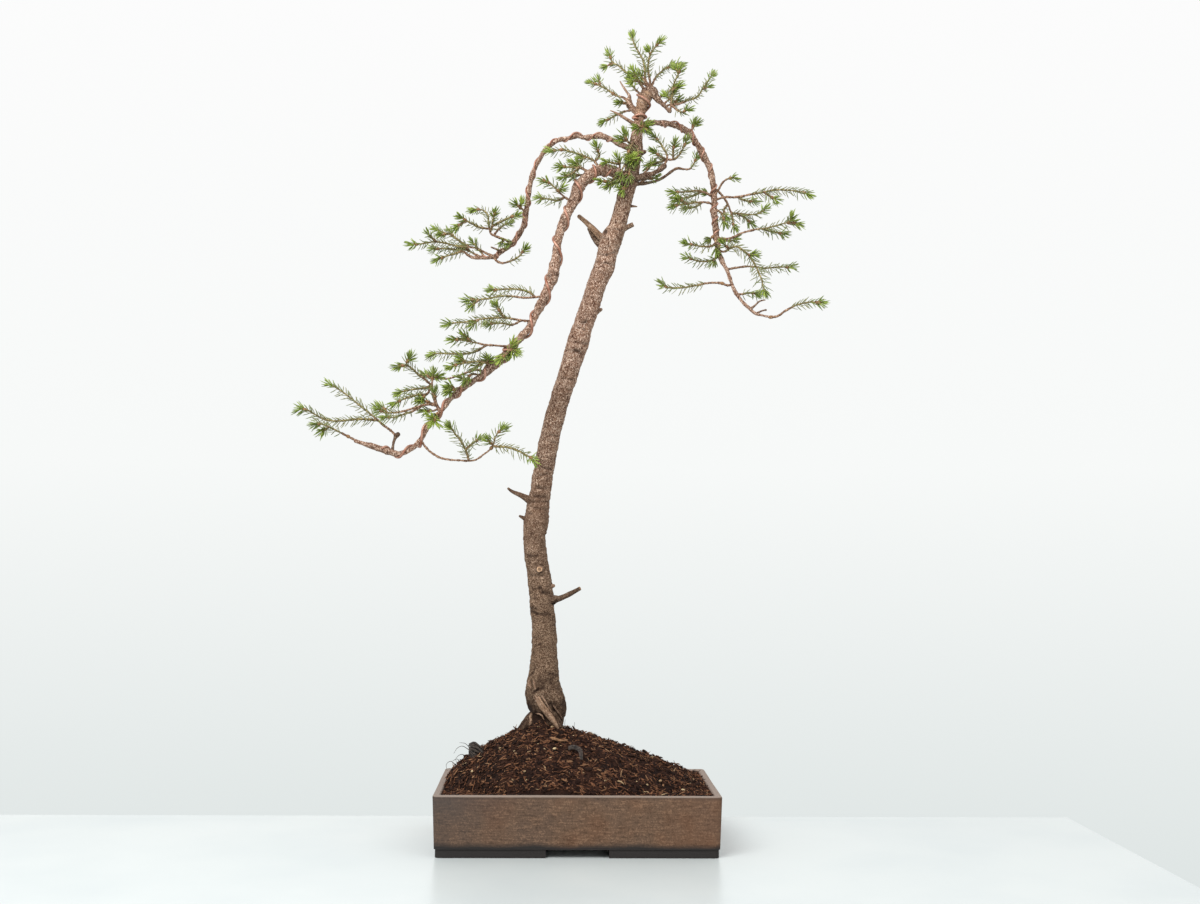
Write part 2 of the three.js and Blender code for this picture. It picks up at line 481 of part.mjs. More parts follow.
    [-122, 380], [-112, 379.5], [-105, 381], [-98, 386], [-91, 391.5], [-88, 396.5], [-85.5, 405], [-81, 411],
    [-70, 416.5]], [-20, 1, [-112.5, 379.5], [-114.5, 387], [-117.5, 394], [-122, 401], [-127, 407.5],
    [-131.5, 413.5], [-138, 421]], [22, 1, [-115, 391.5], [-110, 396.5], [-104, 401], [-96, 406]],
    [-10, 1, [-88.5, 396], [-94, 401], [-99, 406]],
    [-34, 1, [-89, 395], [-82, 394.3], [-74, 394], [-66, 391.7], [-58, 388], [-50, 383.5], [-41, 375]]],
  spray_bend: ['lower_left', [-20, 2, [-147, 423.5, 0], [-148, 422, -9], [-146, 418.5, -12], [-139, 413, -15]],
    [-8, 1, [-148, 421.5], [-152, 424], [-157, 429]], [-4, 1, [-147.5, 421], [-151, 417], [-154, 412]]],
};

// Colours

const finish = {
  stoneware: new THREE.MeshStandardMaterial({ color: 0x76614f, roughness: 0.85 }),
  soil: new THREE.MeshStandardMaterial({ color: 0x2f1e17, roughness: 1 }),
  bark: new THREE.MeshStandardMaterial({ color: 0x7b6656, roughness: 0.95 }),
  needles: new THREE.MeshStandardMaterial({ color: 0x5b8432, roughness: 0.7 }),
  copper: new THREE.MeshStandardMaterial({ color: 0xb87d60, roughness: 0.45, metalness: 0.8 }),
  screen: new THREE.MeshStandardMaterial({ color: 0x2b2d2c, roughness: 0.6 }),
};

// Solids

/** Seeded draws between -1 and 1, the same on every run. */
function draws(seed) {
  let state = seed * 2654435761 % 4294967296;
  return () => {
    state = (state * 1664525 + 1013904223) % 4294967296;
    return state / 2147483648 - 1;
  };
}

/** A closed solid from points and triangles that share them. */
function solidFrom(points, triangles) {
  const vertProperties = new Float32Array(points.flatMap((point) => [point.x, point.y, point.z]));
  const triVerts = new Uint32Array(triangles.flat());
  return new wasm.Manifold(new wasm.Mesh({ numProp: 3, vertProperties, triVerts }));
}

/** The solid of a closed three.js geometry. */
function solidOf(geometry) {
  geometry.deleteAttribute('normal');
  geometry.deleteAttribute('uv');
  const merged = mergeVertices(geometry, 1e-4);
  const vertProperties = new Float32Array(merged.attributes.position.array);
  const triVerts = new Uint32Array(merged.index.array);
  return new wasm.Manifold(new wasm.Mesh({ numProp: 3, vertProperties, triVerts }));
}

function box(x0, x1, y0, y1, z0, z1) {
  const geometry = new THREE.BoxGeometry(x1 - x0, y1 - y0, z1 - z0);
  geometry.translate((x0 + x1) / 2, (y0 + y1) / 2, (z0 + z1) / 2);
  return solidOf(geometry);
}

/** Rings of equal count joined by bands and closed by a fan at each end. */
function loft(rings) {
  const count = rings[0].length;
  const points = rings.flat();
  const triangles = [];
  for (let band = 0; band < rings.length - 1; band += 1) {
    for (let i = 0; i < count; i += 1) {
      const a = band * count + i;
      const b = band * count + (i + 1) % count;
      triangles.push([a, b, b + count], [a, b + count, a + count]);
    }
  }
  const last = (rings.length - 1) * count;
  for (let i = 1; i < count - 1; i += 1) {
    triangles.push([0, i + 1, i], [last, last + i, last + i + 1]);
  }
  return solidFrom(points, triangles);
}

/** A level rounded rectangle, anticlockwise from above. */
function roundedRing(halfX, halfY, radius, z) {
  const perCorner = 4;
  const ring = [];
  for (let corner = 0; corner < 4; corner += 1) {
    const signX = corner === 0 || corner === 3 ? 1 : -1;
    const signY = corner < 2 ? 1 : -1;
    for (let i = 0; i < perCorner; i += 1) {
      const angle = (corner + i / (perCorner - 1)) * Math.PI / 2;
      const x = signX * (halfX - radius) + radius * Math.cos(angle);
      const y = signY * (halfY - radius) + radius * Math.sin(angle);
      ring.push(new THREE.Vector3(x, y, z));
    }
  }
  return ring;
}

// Lines through the tree

/** The place of a point read at x and z in the front view that stands `depth` behind the plane. */
function placed(read) {
  const scale = (read.y - EYE.y) / -EYE.y;
  return new THREE.Vector3(EYE.x + (read.x - EYE.x) * scale, read.y, EYE.z + (read.z - EYE.z) * scale);
}

/** A smooth line through points [x, z, depth, width], with its thickness and a frame that faces the front. */
class Line {
  constructor(points) {
    this.read = new THREE.CatmullRomCurve3(
      points.map(([x, z, depth]) => new THREE.Vector3(x, depth, z)),
      false,
      'centripetal',
    );
    this.widths = points.map((point) => point[3]);
    this.length = this.read.getLength();
  }

  /** Place, direction, frame and radius at a share of the length between 0 and 1. */
  at(share) {
    const t = this.read.getUtoTmapping(share);
    const read = this.read.getPoint(t);
    const along = t * (this.widths.length - 1);
    const index = Math.min(Math.floor(along), this.widths.length - 2);
    const width = THREE.MathUtils.lerp(this.widths[index], this.widths[index + 1], along - index);
    const step = 0.5 / this.length;
    const ahead = placed(this.read.getPointAt(Math.min(share + step, 1)));
    const behind = placed(this.read.getPointAt(Math.max(share - step, 0)));
    const direction = ahead.sub(behind).normalize();
    const front = new THREE.Vector3(0, -1, 0);
    if (Math.abs(direction.y) > 0.9) front.set(0, 0, 1);
    front.addScaledVector(direction, -front.dot(direction)).normalize();
    const side = direction.clone().cross(front);
    const radius = width / 2 * (read.y - EYE.y) / -EYE.y;
    return { point: placed(read), read, direction, front, side, radius };
  }

  /** The share of the length, between two others, where the line is nearest to x, z in the front view. */
  nearest(x, z, first = 0, last = 1) {
    const samples = 400;
    let best = { share: first, distance: Infinity };
    for (let i = 0; i <= samples; i += 1) {
      const share = THREE.MathUtils.lerp(first, last, i / samples);
      const read = this.read.getPointAt(share);
      const distance = Math.hypot(read.x - x, read.z - z);
      if (distance < best.distance) best = { share, distance };
    }
    return best;
  }

  /** How far a place lies from the line's middle, and how far along the line that is. */
  from(place) {
    const samples = Math.ceil(this.length / 2);
    let best = { distance: Infinity, along: 0 };
    for (let i = 0; i <= samples; i += 1) {
      const distance = placed(this.read.getPointAt(i / samples)).distanceTo(place);
      if (distance < best.distance) best = { distance, along: i / samples * this.length };
    }
    return best;
  }
}

/** A ring of points round a station of a line. */
function ringAt(station, sides, radii, turn = 0) {
  return radii.map((radius, i) => {
    const angle = turn + i * 2 * Math.PI / sides;
    return station.point.clone()
      .addScaledVector(station.front, radius * Math.cos(angle))
      .addScaledVector(station.side, radius * Math.sin(angle));
  });
}

// Pieces in the way of needles: stretches of wood, wire and twig as { a, b, radius, owner }
const stretches = [];

function blockLine(places, radii, owner) {
  for (let i = 0; i < places.length - 1; i += 1) {
    stretches.push({ a: places[i], b: places[i + 1], radius: Math.max(radii[i], radii[i + 1]), owner });
  }
}

/** Least distance between the segments a-b and c-d. */
function apart(a, b, c, d) {
  const ab = b.clone().sub(a);
  const cd = d.clone().sub(c);
  const ac = c.clone().sub(a);
  const abab = ab.dot(ab);
  const cdcd = cd.dot(cd);
  const abcd = ab.dot(cd);
  const acab = ac.dot(ab);
  const accd = ac.dot(cd);
  const clamp = (value) => Math.min(Math.max(value, 0), 1);
  const spread = abab * cdcd - abcd * abcd;
  let s = spread > 1e-9 ? clamp((acab * cdcd - accd * abcd) / spread) : 0;
  const t = clamp((s * abcd - accd) / cdcd);
  s = clamp((t * abcd + acab) / abab);
  return a.clone().addScaledVector(ab, s).distanceTo(c.clone().addScaledVector(cd, t));
}

// Wood

const limbs = Object.fromEntries(Object.entries(LIMBS).map(([name, limb]) => [name, new Line(limb.line)]));

/** A limb with an uneven, many-sided bark, `extra` thicker all round. */
function limbSolid(name, extra = 0) {
  const { sides, spacing, rough } = LIMBS[name];
  const line = limbs[name];
  const count = Math.max(2, Math.round(line.length / spacing));
  const draw = draws(name.length * 31 + sides);
  const rings = [];
  for (let i = 0; i <= count; i += 1) {
    const station = line.at(i / count);
    const radii = Array.from({ length: sides }, () => station.radius * (1 + rough / 2 * draw()) + extra);
    rings.push(ringAt(station, sides, radii, i % 2 * Math.PI / sides));
  }
  return loft(rings);
}

/** A short stub, flat at its end, on which a spray stands. */
function stubSolid(twig) {
  const rings = [0, twig.stubEnd].map((share) => {
    const station = twig.line.at(share);
    return ringAt(station, 3, Array(3).fill(station.radius * TWIG.collar));
  });
  return loft(rings);
}

function makeWood(sprays) {
  let wood = limbSolid('trunk');
  for (const name of Object.keys(LIMBS)) {
    if (name !== 'trunk') wood = wood.add(limbSolid(name));
  }
  for (const spray of sprays) wood = wood.add(stubSolid(spray.twigs[0]));
  return wood;
}

/** What the trunk and its roots take up in the soil, with the gap round them. */
function makeSocket() {
  return BURIED.map((name) => limbSolid(name, GAP)).reduce((whole, part) => whole.add(part));
}

// Sprays

/** Fills in the depth of every point of a twig between the ones that are given. */
function twigLine(start, reach, points) {
  const lengths = [0];
  for (let i = 1; i < points.length; i += 1) {
    const step = Math.hypot(points[i][0] - points[i - 1][0], points[i][1] - points[i - 1][1]);
    lengths.push(lengths[i - 1] + step);
  }
  const total = lengths[lengths.length - 1];
  const widthAt = (share) => THREE.MathUtils.lerp(TWIG.base, TWIG.tip, share);
  return points.map(([x, z, depth], i) => {
    const share = lengths[i] / total;
    return [x, z, start + (depth ?? reach * share), widthAt(share)];
  });
}

/** How far along its line a twig leaves the wood of its limb, as a share of its length. */
function leaving(limb, line) {
  const start = line.at(0).read;
  const clear = limb.at(limb.nearest(start.x, start.z).share).radius + TWIG.stub;
  let share = 0;
  while (limb.from(line.at(share).point).distance < clear) share += 0.5 / line.length;
  return share;
}

/** Where a twig's rings lie along it, and which of them begin a whorl of needles. */
function planRings(line, from, bareEnd, tip) {
  const rings = [];
  const spans = Math.max(1, Math.round((bareEnd - from) * line.length / TWIG.bareStep));
  for (let i = 0; i < spans; i += 1) rings.push({ share: from + (bareEnd - from) * i / spans });
  rings.push({ share: bareEnd });
  const root = NEEDLE.base / line.length;
  const last = tip - root * 1.25;
  const whorls = Math.max(1, Math.round((last - bareEnd) * line.length / NEEDLE.pitch));
  for (let i = 1; i <= whorls; i += 1) {
    const share = bareEnd + (last - bareEnd) * i / whorls;
    rings.push({ share, whorl: i / whorls }, { share: share + root });
  }
  for (const ring of rings) ring.station = line.at(ring.share);
  return rings;
}

/** The middle of a twig's body at a share of its length: its rings are joined by straight stretches. */
function middleAt({ rings }, share) {
  const next = Math.max(1, rings.findIndex((ring) => ring.share > share));
  const [low, high] = [rings[next - 1], rings[next]];
  return low.station.point.clone().lerp(high.station.point, (share - low.share) / (high.share - low.share));
}

/** The twigs of a spray, each from the limb or the twig that carries it. */
function planSpray(name, [limbName, ...twigs]) {
  const limb = limbs[limbName];
  const planned = [];
  for (const [reach, bare, ...points] of twigs) {
    const carriers = planned.length ? planned : [{ line: limb, open: 0, close: 1 }];
    const [x, z] = points[0];
    const found = carriers.map((twig) => ({ twig, ...twig.line.nearest(x, z, twig.open, twig.close) }));
    const from = found.reduce((best, next) => (next.distance < best.distance ? next : best));
    const start = from.twig.line.at(from.share).read;
    points[0] = [start.x, start.z, 0];
    const line = new Line(twigLine(start.y, reach, points));
    const stubEnd = planned.length ? 0 : leaving(limb, line);
    const open = stubEnd + 2 / line.length;
    const bareEnd = Math.max(open, bare > 1 ? line.nearest(points[bare - 1][0], points[bare - 1][1]).share : 0);
    const tip = 1 - NEEDLE.reach / line.length;
    const rings = planRings(line, planned.length ? 0 : stubEnd + GAP / line.length, bareEnd, tip);
    if (planned.length) {
      rings[0].station.point.copy(middleAt(from.twig, from.share));
      rings[0].station.radius *= 0.3;
    }
    planned.push({ line, stubEnd, open, tip, rings, close: rings[rings.length - 1].share - 0.01 });
  }
  return { name, limbName, twigs: planned };
}

/** The outermost point of a needle that is clear of everything else, or null. */
function needleTip(root, outward, station, whorl, draw, owner) {
  const lean = THREE.MathUtils.lerp(NEEDLE.lean, NEEDLE.leanAtTip, whorl ** 4);
  for (let attempt = 0; attempt < 7; attempt += 1) {
    const spread = 12 + 5 * attempt;
    const angle = THREE.MathUtils.degToRad(lean + 7 * draw() - attempt * 2);
    const swing = THREE.MathUtils.degToRad(spread * draw());
    const across = outward.clone().applyAxisAngle(station.direction, swing);
    const length = NEEDLE.length * (0.95 + 0.12 * draw()) * (1 - 0.05 * attempt);
    const tip = root.clone()
      .addScaledVector(station.direction, length * Math.cos(angle))
      .addScaledVector(across, length * Math.sin(angle));
    const begin = root.clone().lerp(tip, 0.22);
    const half = length / 2 + 1;
    const middle = begin.clone().lerp(tip, 0.5);
    const clear = stretches.every((other) => {
      if (other.owner === owner.twig) return true;
      const far = other.a.distanceTo(other.b) / 2 + half + other.radius;
      if (middle.distanceTo(other.a.clone().lerp(other.b, 0.5)) > far) return true;
      const margin = other.owner.startsWith(owner.spray) ? 0.35 : 0.8;
      return apart(begin, tip, other.a, other.b) > other.radius + margin;
    });
    if (clear) {
      stretches.push({ a: begin, b: tip, radius: 0.35, owner: `${owner.spray} needle` });
      return tip;
    }
  }
  return null;
}

/**
 * A three-sided twig, closed at both ends. Each ring is turned by half a face against the one before,
 * so a band has six faces, and in the short bands every face is raised into a needle.
 */
function twigSolid(twig, draw, owner) {
  const sides = 3;
  const { rings } = twig;
  const points = [];
  const triangles = [[0, 2, 1]];
  const firstTurn = draw() * Math.PI;
  rings.forEach(({ station }, index) => {
    points.push(...ringAt(station, sides, Array(sides).fill(station.radius), firstTurn + index * Math.PI / sides));
  });
  for (let band = 0; band < rings.length - 1; band += 1) {
    const { station, whorl } = rings[band];
    for (let i = 0; i < sides; i += 1) {
      const below = band * sides + i;
      const next = band * sides + (i + 1) % sides;
      const above = below + sides;
      const faces = [[below, next, above], [above, next, next + sides]];
      for (const face of faces) {
        const root = face.reduce((sum, corner) => sum.add(points[corner]), new THREE.Vector3()).divideScalar(3);
        const outward = root.clone().sub(station.point);
        outward.addScaledVector(station.direction, -outward.dot(station.direction)).normalize();
        const tip = whorl === undefined ? null : needleTip(root, outward, station, whorl, draw, owner);
        if (tip) {
          const apex = points.push(tip) - 1;
          triangles.push([face[0], face[1], apex], [face[1], face[2], apex], [face[2], face[0], apex]);
        } else triangles.push(face);
      }
    }
  }
  const last = (rings.length - 1) * sides;
  const end = points.push(twig.line.at(twig.tip).point) - 1;
  for (let i = 0; i < sides; i += 1) triangles.push([last + i, last + (i + 1) % sides, end]);
  return solidFrom(points, triangles);
}

function makeSpray(spray, seed) {
  const draw = draws(seed);
  const solids = spray.twigs.map((twig, index) => (
    twigSolid(twig, draw, { spray: spray.name, twig: `${spray.name} twig ${index}` })));
  return solids.reduce((whole, part) => whole.add(part));
}

// Copper wires

/** A wire wound on a limb, slid along it wherever a twig or another limb stands in its way. */
function planWire(name, sprays) {
  const { limb: limbName, width, hand, passes } = WIRES[name];
  const limb = limbs[limbName];
  const stops = [];
  for (let turn = 0; turn < passes.length - 1; turn += 1) {
    const [start, end] = [passes[turn], passes[turn + 1]].map(([x, z]) => limb.nearest(x, z).share * limb.length);
    for (let i = 0; i < WIRE.steps; i += 1) {
      stops.push({ angle: hand * 2 * Math.PI * i / WIRE.steps, along: start + (end - start) * i / WIRE.steps });
    }
    if (turn === passes.length - 2) stops.push({ angle: 0, along: end });
  }
  const place = ({ angle, along }) => {
    const station = limb.at(THREE.MathUtils.clamp(along / limb.length, 0, 1));
    const reach = station.radius * (1 + LIMBS[limbName].rough / 2) + GAP + width / 2;
    const outward = station.front.clone().multiplyScalar(Math.cos(angle))
      .addScaledVector(station.side, Math.sin(angle));
    const point = station.point.clone().addScaledVector(outward, reach / Math.cos(Math.PI / WIRE.steps));
    return { point, outward };
  };
  const obstacles = stretches.filter(({ owner, a, b }) => owner !== limbName
    && Math.min(limb.from(a).distance, limb.from(b).distance) < 25);
  for (const { line, stubEnd } of sprays.map((spray) => spray.twigs[0])) {
    const reach = Math.min(1, stubEnd + 12 / line.length);
    const ends = [0, reach / 2, reach].map((share) => line.at(share).point);
    if (limb.from(ends[0]).distance > 3) continue;
    for (const i of [0, 1]) obstacles.push({ a: ends[i], b: ends[i + 1], radius: TWIG.base / 2 * TWIG.collar });
  }
  const spans = stops.slice(1).map((stop, i) => [stops[i], stop]);
  const clearance = ([start, end], other) => (
    apart(place(start).point, place(end).point, other.a, other.b) - other.radius - width / 2);
  for (const obstacle of obstacles) {
    const [base] = [obstacle.a, obstacle.b].map((end) => limb.from(end)).sort((p, q) => p.distance - q.distance);
    const near = spans.map((span) => ({ span, room: clearance(span, obstacle) })).sort((p, q) => p.room - q.room)[0];
    obstacle.slide = near.span[0].along + near.span[1].along < 2 * base.along ? -0.3 : 0.3;
  }
  for (let round = 0; round < 40; round += 1) {
    for (const span of spans) {
      const hit = obstacles.find((other) => clearance(span, other) < 0.5);
      if (hit) for (const stop of span) stop.along += hit.slide;
    }
  }
  return { name, width, path: stops.map(place) };
}

function makeWire({ width, path }) {
  const sides = width > 2 ? 4 : 3;
  const rings = path.map(({ point, outward }, i) => {
    const ahead = path[Math.min(i + 1, path.length - 1)].point;
    const behind = path[Math.max(i - 1, 0)].point;
    const direction = ahead.clone().sub(behind).normalize();
    const front = outward.clone().addScaledVector(direction, -outward.dot(direction)).normalize();
    const side = direction.clone().cross(front);
    return ringAt({ point, front, side }, sides, Array(sides).fill(width / 2), Math.PI / 4);
  });
  return loft(rings);
}

// Pot, screens and soil

function makePot() {
  const { length, width, height, taper, wall, corner, edge, foot, footInset, footWidth, floor } = POT;
  const halfX = length / 2;
  const halfY = width / 2;
  const leanAt = (z) => taper * (height - z) / height;
  const outer = (z, inset = 0) => roundedRing(
    halfX - leanAt(z) - inset, halfY - leanAt(z) - inset, corner - Math.min(inset, corner - 1), z);
  const innerRadius = corner / 2;
  const inner = (z, inset = 0) => roundedRing(
    halfX - leanAt(z) - wall + inset, halfY - leanAt(z) - wall + inset, innerRadius, z);
  let pot = loft([
    outer(foot),
    outer(height - edge),
    outer(height - edge * 0.3, edge * 0.3),
    outer(height, edge),
    inner(height, edge),
    inner(height - edge, 0),
    inner(foot + floor),
  ]);
  const low = roundedRing(halfX - taper - footInset, halfY - taper - footInset, corner, 0);
  const high = roundedRing(halfX - taper - footInset, halfY - taper - footInset, corner, foot + 1);
  const insideX = halfX - taper - footInset - footWidth;
  const insideY = halfY - taper - footInset - footWidth;
  const feet = loft([low, high])
    .subtract(box(-insideX, insideX, -insideY, insideY, -1, foot + 2))
    .subtract(box(-POT.slotFront / 2, POT.slotFront / 2, -width, width, -1, foot))
    .subtract(box(-length, length, -POT.slotSide / 2, POT.slotSide / 2, -1, foot));
  pot = pot.add(feet);
  for (const side of [-1, 1]) {
    const hole = new THREE.CylinderGeometry(POT.hole / 2, POT.hole / 2, foot + floor * 2, 14);
    hole.rotateX(Math.PI / 2);
    hole.translate(side * POT.holeApart / 2, 0, foot + floor / 2);
    pot = pot.subtract(solidOf(hole));
  }
  return pot;
}

/** A square of drain mesh, lying on the pot's floor over one hole. */
function makeScreen(side) {
  const { size, thickness, bar, cells } = SCREEN;
  const low = POT.foot + POT.floor + GAP;
  const left = side * POT.holeApart / 2 - size / 2;
  const cell = (size - bar) / cells;
  let screen = box(left, left + size, -size / 2, size / 2, low, low + thickness);
  for (let column = 0; column < cells; column += 1) {
    for (let row = 0; row < cells; row += 1) {
      const x = left + bar + column * cell;
      const y = -size / 2 + bar + row * cell;
      screen = screen.subtract(box(x, x + cell - bar, y, y + cell - bar, 0, low + thickness * 2));
    }
  }
  return screen;
}

/** Height of the soil: a mound that falls from the trunk to the rim on every side. */
function soilHeight(x, y, reachX, reachY) {
  const spanX = x < SOIL.peakX ? reachX + SOIL.peakX : reachX - SOIL.peakX;
  const spanY = y < SOIL.peakY ? reachY + SOIL.peakY : reachY - SOIL.peakY;
  const aside = (x - SOIL.peakX) / spanX;
  const away = Math.max(Math.hypot(aside, (y - SOIL.peakY) / spanY), 0.001);
  return SOIL.edge + SOIL.mound * Math.max(0, 1 - away) ** (SOIL.slope + SOIL.lean * aside / away);
}

function makeSoil(socket) {
  const { columns, rows, lump } = SOIL;
  const { length, width, taper, wall, height, foot, floor } = POT;
  const reachX = length / 2 - wall;
  const reachY = width / 2 - wall;
  const bottom = foot + floor + GAP;
  const draw = draws(7);
  const points = [];
  const triangles = [];
  for (let row = 0; row <= rows; row += 1) {
    for (let column = 0; column <= columns; column += 1) {
      const x = -reachX - 2 + (2 * reachX + 4) * column / columns;
      const y = -reachY - 2 + (2 * reachY + 4) * row / rows;
      const inner = Math.min(1, Math.min(reachX - Math.abs(x), reachY - Math.abs(y)) / 10);
      points.push(new THREE.Vector3(x, y, soilHeight(x, y, reachX, reachY) + lump * draw() * Math.max(0, inner)));
    }
  }
  const stride = columns + 1;
  for (let row = 0; row < rows; row += 1) {
    for (let column = 0; column < columns; column += 1) {
      const a = row * stride + column;
      triangles.push([a, a + 1, a + stride + 1], [a, a + stride + 1, a + stride]);
    }
  }
  const border = [];
  for (let column = 0; column < columns; column += 1) border.push(column);
  for (let row = 0; row < rows; row += 1) border.push(row * stride + columns);
  for (let column = columns; column > 0; column -= 1) border.push(rows * stride + column);
  for (let row = rows; row > 0; row -= 1) border.push(row * stride);
  const firstLow = points.length;
  for (const index of border) points.push(points[index].clone().setZ(0));
  const middle = points.push(new THREE.Vector3(0, 0, 0)) - 1;
  border.forEach((index, i) => {
    const next = (i + 1) % border.length;
    triangles.push([index, firstLow + i, firstLow + next], [index, firstLow + next, border[next]]);
    triangles.push([middle, firstLow + next, firstLow + i]);
  });
  const leanAt = (z) => taper * (height - z) / height + GAP;
  const fill = loft([bottom, height + 1].map((z) => roundedRing(
    reachX - leanAt(z), reachY - leanAt(z), POT.corner / 2, z)));
  const above = loft([height, height + SOIL.mound * 2].map((z) => roundedRing(
    reachX - leanAt(height), reachY - leanAt(height), POT.corner / 2, z)));
  let soil = solidFrom(points, triangles).intersect(fill.add(above)).subtract(socket);
  const seat = SCREEN.size / 2 + GAP;
  for (const side of [-1, 1]) {
    const x = side * POT.holeApart / 2;
    soil = soil.subtract(box(x - seat, x + seat, -seat, seat, 0, bottom + SCREEN.thickness + GAP));
  }
  return soil;
}

// The whole

const bonsai = new THREE.Group();
bonsai.position.copy(PLACE);

function addPiece(name, solid, material) {
  const mesh = solid.getMesh();
  const geometry = new THREE.BufferGeometry();
  geometry.setAttribute('position', new THREE.BufferAttribute(new Float32Array(mesh.vertProperties), 3));
  geometry.setIndex(new THREE.BufferAttribute(new Uint32Array(mesh.triVerts), 1));
  geometry.computeVertexNormals();
  const piece = new THREE.Mesh(geometry, material);
  piece.name = name;
  bonsai.add(piece);
}

const sprays = Object.entries(SPRAYS).map(([name, spray]) => planSpray(name, spray));

for (const [name, limb] of Object.entries(limbs)) {
  const count = Math.ceil(limb.length / 6);
  const stations = Array.from({ length: count + 1 }, (_, i) => limb.at(i / count));
  blockLine(stations.map((station) => station.point), stations.map((station) => station.radius * 1.06), name);
}
const wires = Object.keys(WIRES).map((name) => planWire(name, sprays));
for (const wire of wires) {
  blockLine(wire.path.map((stop) => stop.point), wire.path.map(() => wire.width / 2), wire.name);
}
for (const spray of sprays) {
  spray.twigs.forEach((twig, index) => {
    const count = Math.ceil(twig.line.length / 5);
    const stations = Array.from({ length: count + 1 }, (_, i) => twig.line.at(twig.tip * i / count));
    const radii = stations.map((station) => station.radius * TWIG.collar);
    blockLine(stations.map((station) => station.point), radii, `${spray.name} twig ${index}`);
  });
}

addPiece('pot', makePot(), finish.stoneware);
addPiece('drain_screen_left', makeScreen(-1), finish.screen);
addPiece('drain_screen_right', makeScreen(1), finish.screen);
addPiece('soil', makeSoil(makeSocket()), finish.soil);
addPiece('wood', makeWood(sprays), finish.bark);
for (const wire of wires) addPiece(wire.name, makeWire(wire), finish.copper);
sprays.forEach((spray, index) => addPiece(spray.name, makeSpray(spray, index + 1), finish.needles));

export default bonsai;
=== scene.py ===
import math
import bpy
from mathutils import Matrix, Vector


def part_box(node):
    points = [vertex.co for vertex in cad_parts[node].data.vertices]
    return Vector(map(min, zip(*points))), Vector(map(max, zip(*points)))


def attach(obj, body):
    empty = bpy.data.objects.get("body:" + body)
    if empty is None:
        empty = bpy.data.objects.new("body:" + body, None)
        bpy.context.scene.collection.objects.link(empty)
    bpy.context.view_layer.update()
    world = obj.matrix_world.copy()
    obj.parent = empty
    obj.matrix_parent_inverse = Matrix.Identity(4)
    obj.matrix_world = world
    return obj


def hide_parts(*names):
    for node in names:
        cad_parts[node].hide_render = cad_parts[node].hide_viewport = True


bl_info = {
    "name": "Spruce Bonsai",
    "version": (1, 0, 0),
    "blender": (4, 5, 0),
    "location": "View3D > Sidebar > Bonsai",
    "description": "A wired spruce bonsai with its soil and stoneware pot, dressed round its packed solids",
    "category": "Add Mesh",
}

import bmesh
import bpy
import numpy as np
from mathutils import Matrix, Vector

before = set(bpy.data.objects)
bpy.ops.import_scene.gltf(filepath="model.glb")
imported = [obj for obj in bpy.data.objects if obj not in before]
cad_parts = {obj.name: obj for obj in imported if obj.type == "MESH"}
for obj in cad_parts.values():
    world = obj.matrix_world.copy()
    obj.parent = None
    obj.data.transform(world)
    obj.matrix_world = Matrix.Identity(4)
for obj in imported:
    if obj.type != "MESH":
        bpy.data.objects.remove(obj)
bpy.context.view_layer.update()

# Every length in the tables is in millimetres from the middle of the pot's foot: X to the right, Y away from
# the viewer and Z up. Meshes are in metres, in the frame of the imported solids.
MM = 0.001
POT_LOW, POT_HIGH = (np.array(corner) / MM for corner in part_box("pot"))
MIDDLE = (POT_LOW + POT_HIGH) / 2 * (1, 1, 0)

# The tree's lines are its front view, [x, z] in the upright plane through the pot's middle as seen from EYE.
# Depth is how far behind that plane a point stands, on its line of sight.
EYE = np.array([-30.0, -1474.0, 297.0])
YAW, PITCH, ROLL = (math.radians(angle) for angle in (1.97, 3.61, 0.52))

POT = {"length": 275, "width": 172, "height": 58, "wall": 7.5, "floor": 16}
SOIL = {"edge": 56.5, "mound": 62, "peak": (-33, -9), "slope": 0.68, "lean": 0.1}
SOIL_REACH = [POT[side] / 2 - POT["wall"] for side in ("length", "width")]  # out to the pot's walls
NEEDLE_REACH = 8.5  # how far needles stand past the end of their twig
TUFT_REACH = 5.5  # how far down from a twig's end its newest needles start
TWIG_WIDTH = (2.4, 1.6)  # where it leaves the wood, and at its tip
GOLDEN = math.pi * (3 - math.sqrt(5))  # the turn from one needle to the next, as leaves follow on a shoot
FACET = 1.15  # the width of a face round a limb
RING_GAP, TRUNK_RING_GAP = 0.93, 1.25  # the length of a face along a limb, and along the trunk
PLATE, PEG, GRAIN = (4.4, 4.4, 2.8), (2.4, 2.4, 3.0), (1.6, 1.6, 11)  # the bark's cells, last number along
CRACKS_APART, KNUCKLES_APART = 19, 17
WIRE_SINK = 0.45  # how deep a wire is pressed into the bark
LENS, SENSOR = 43.5, 36.0  # the camera's focal length and the width of its picture

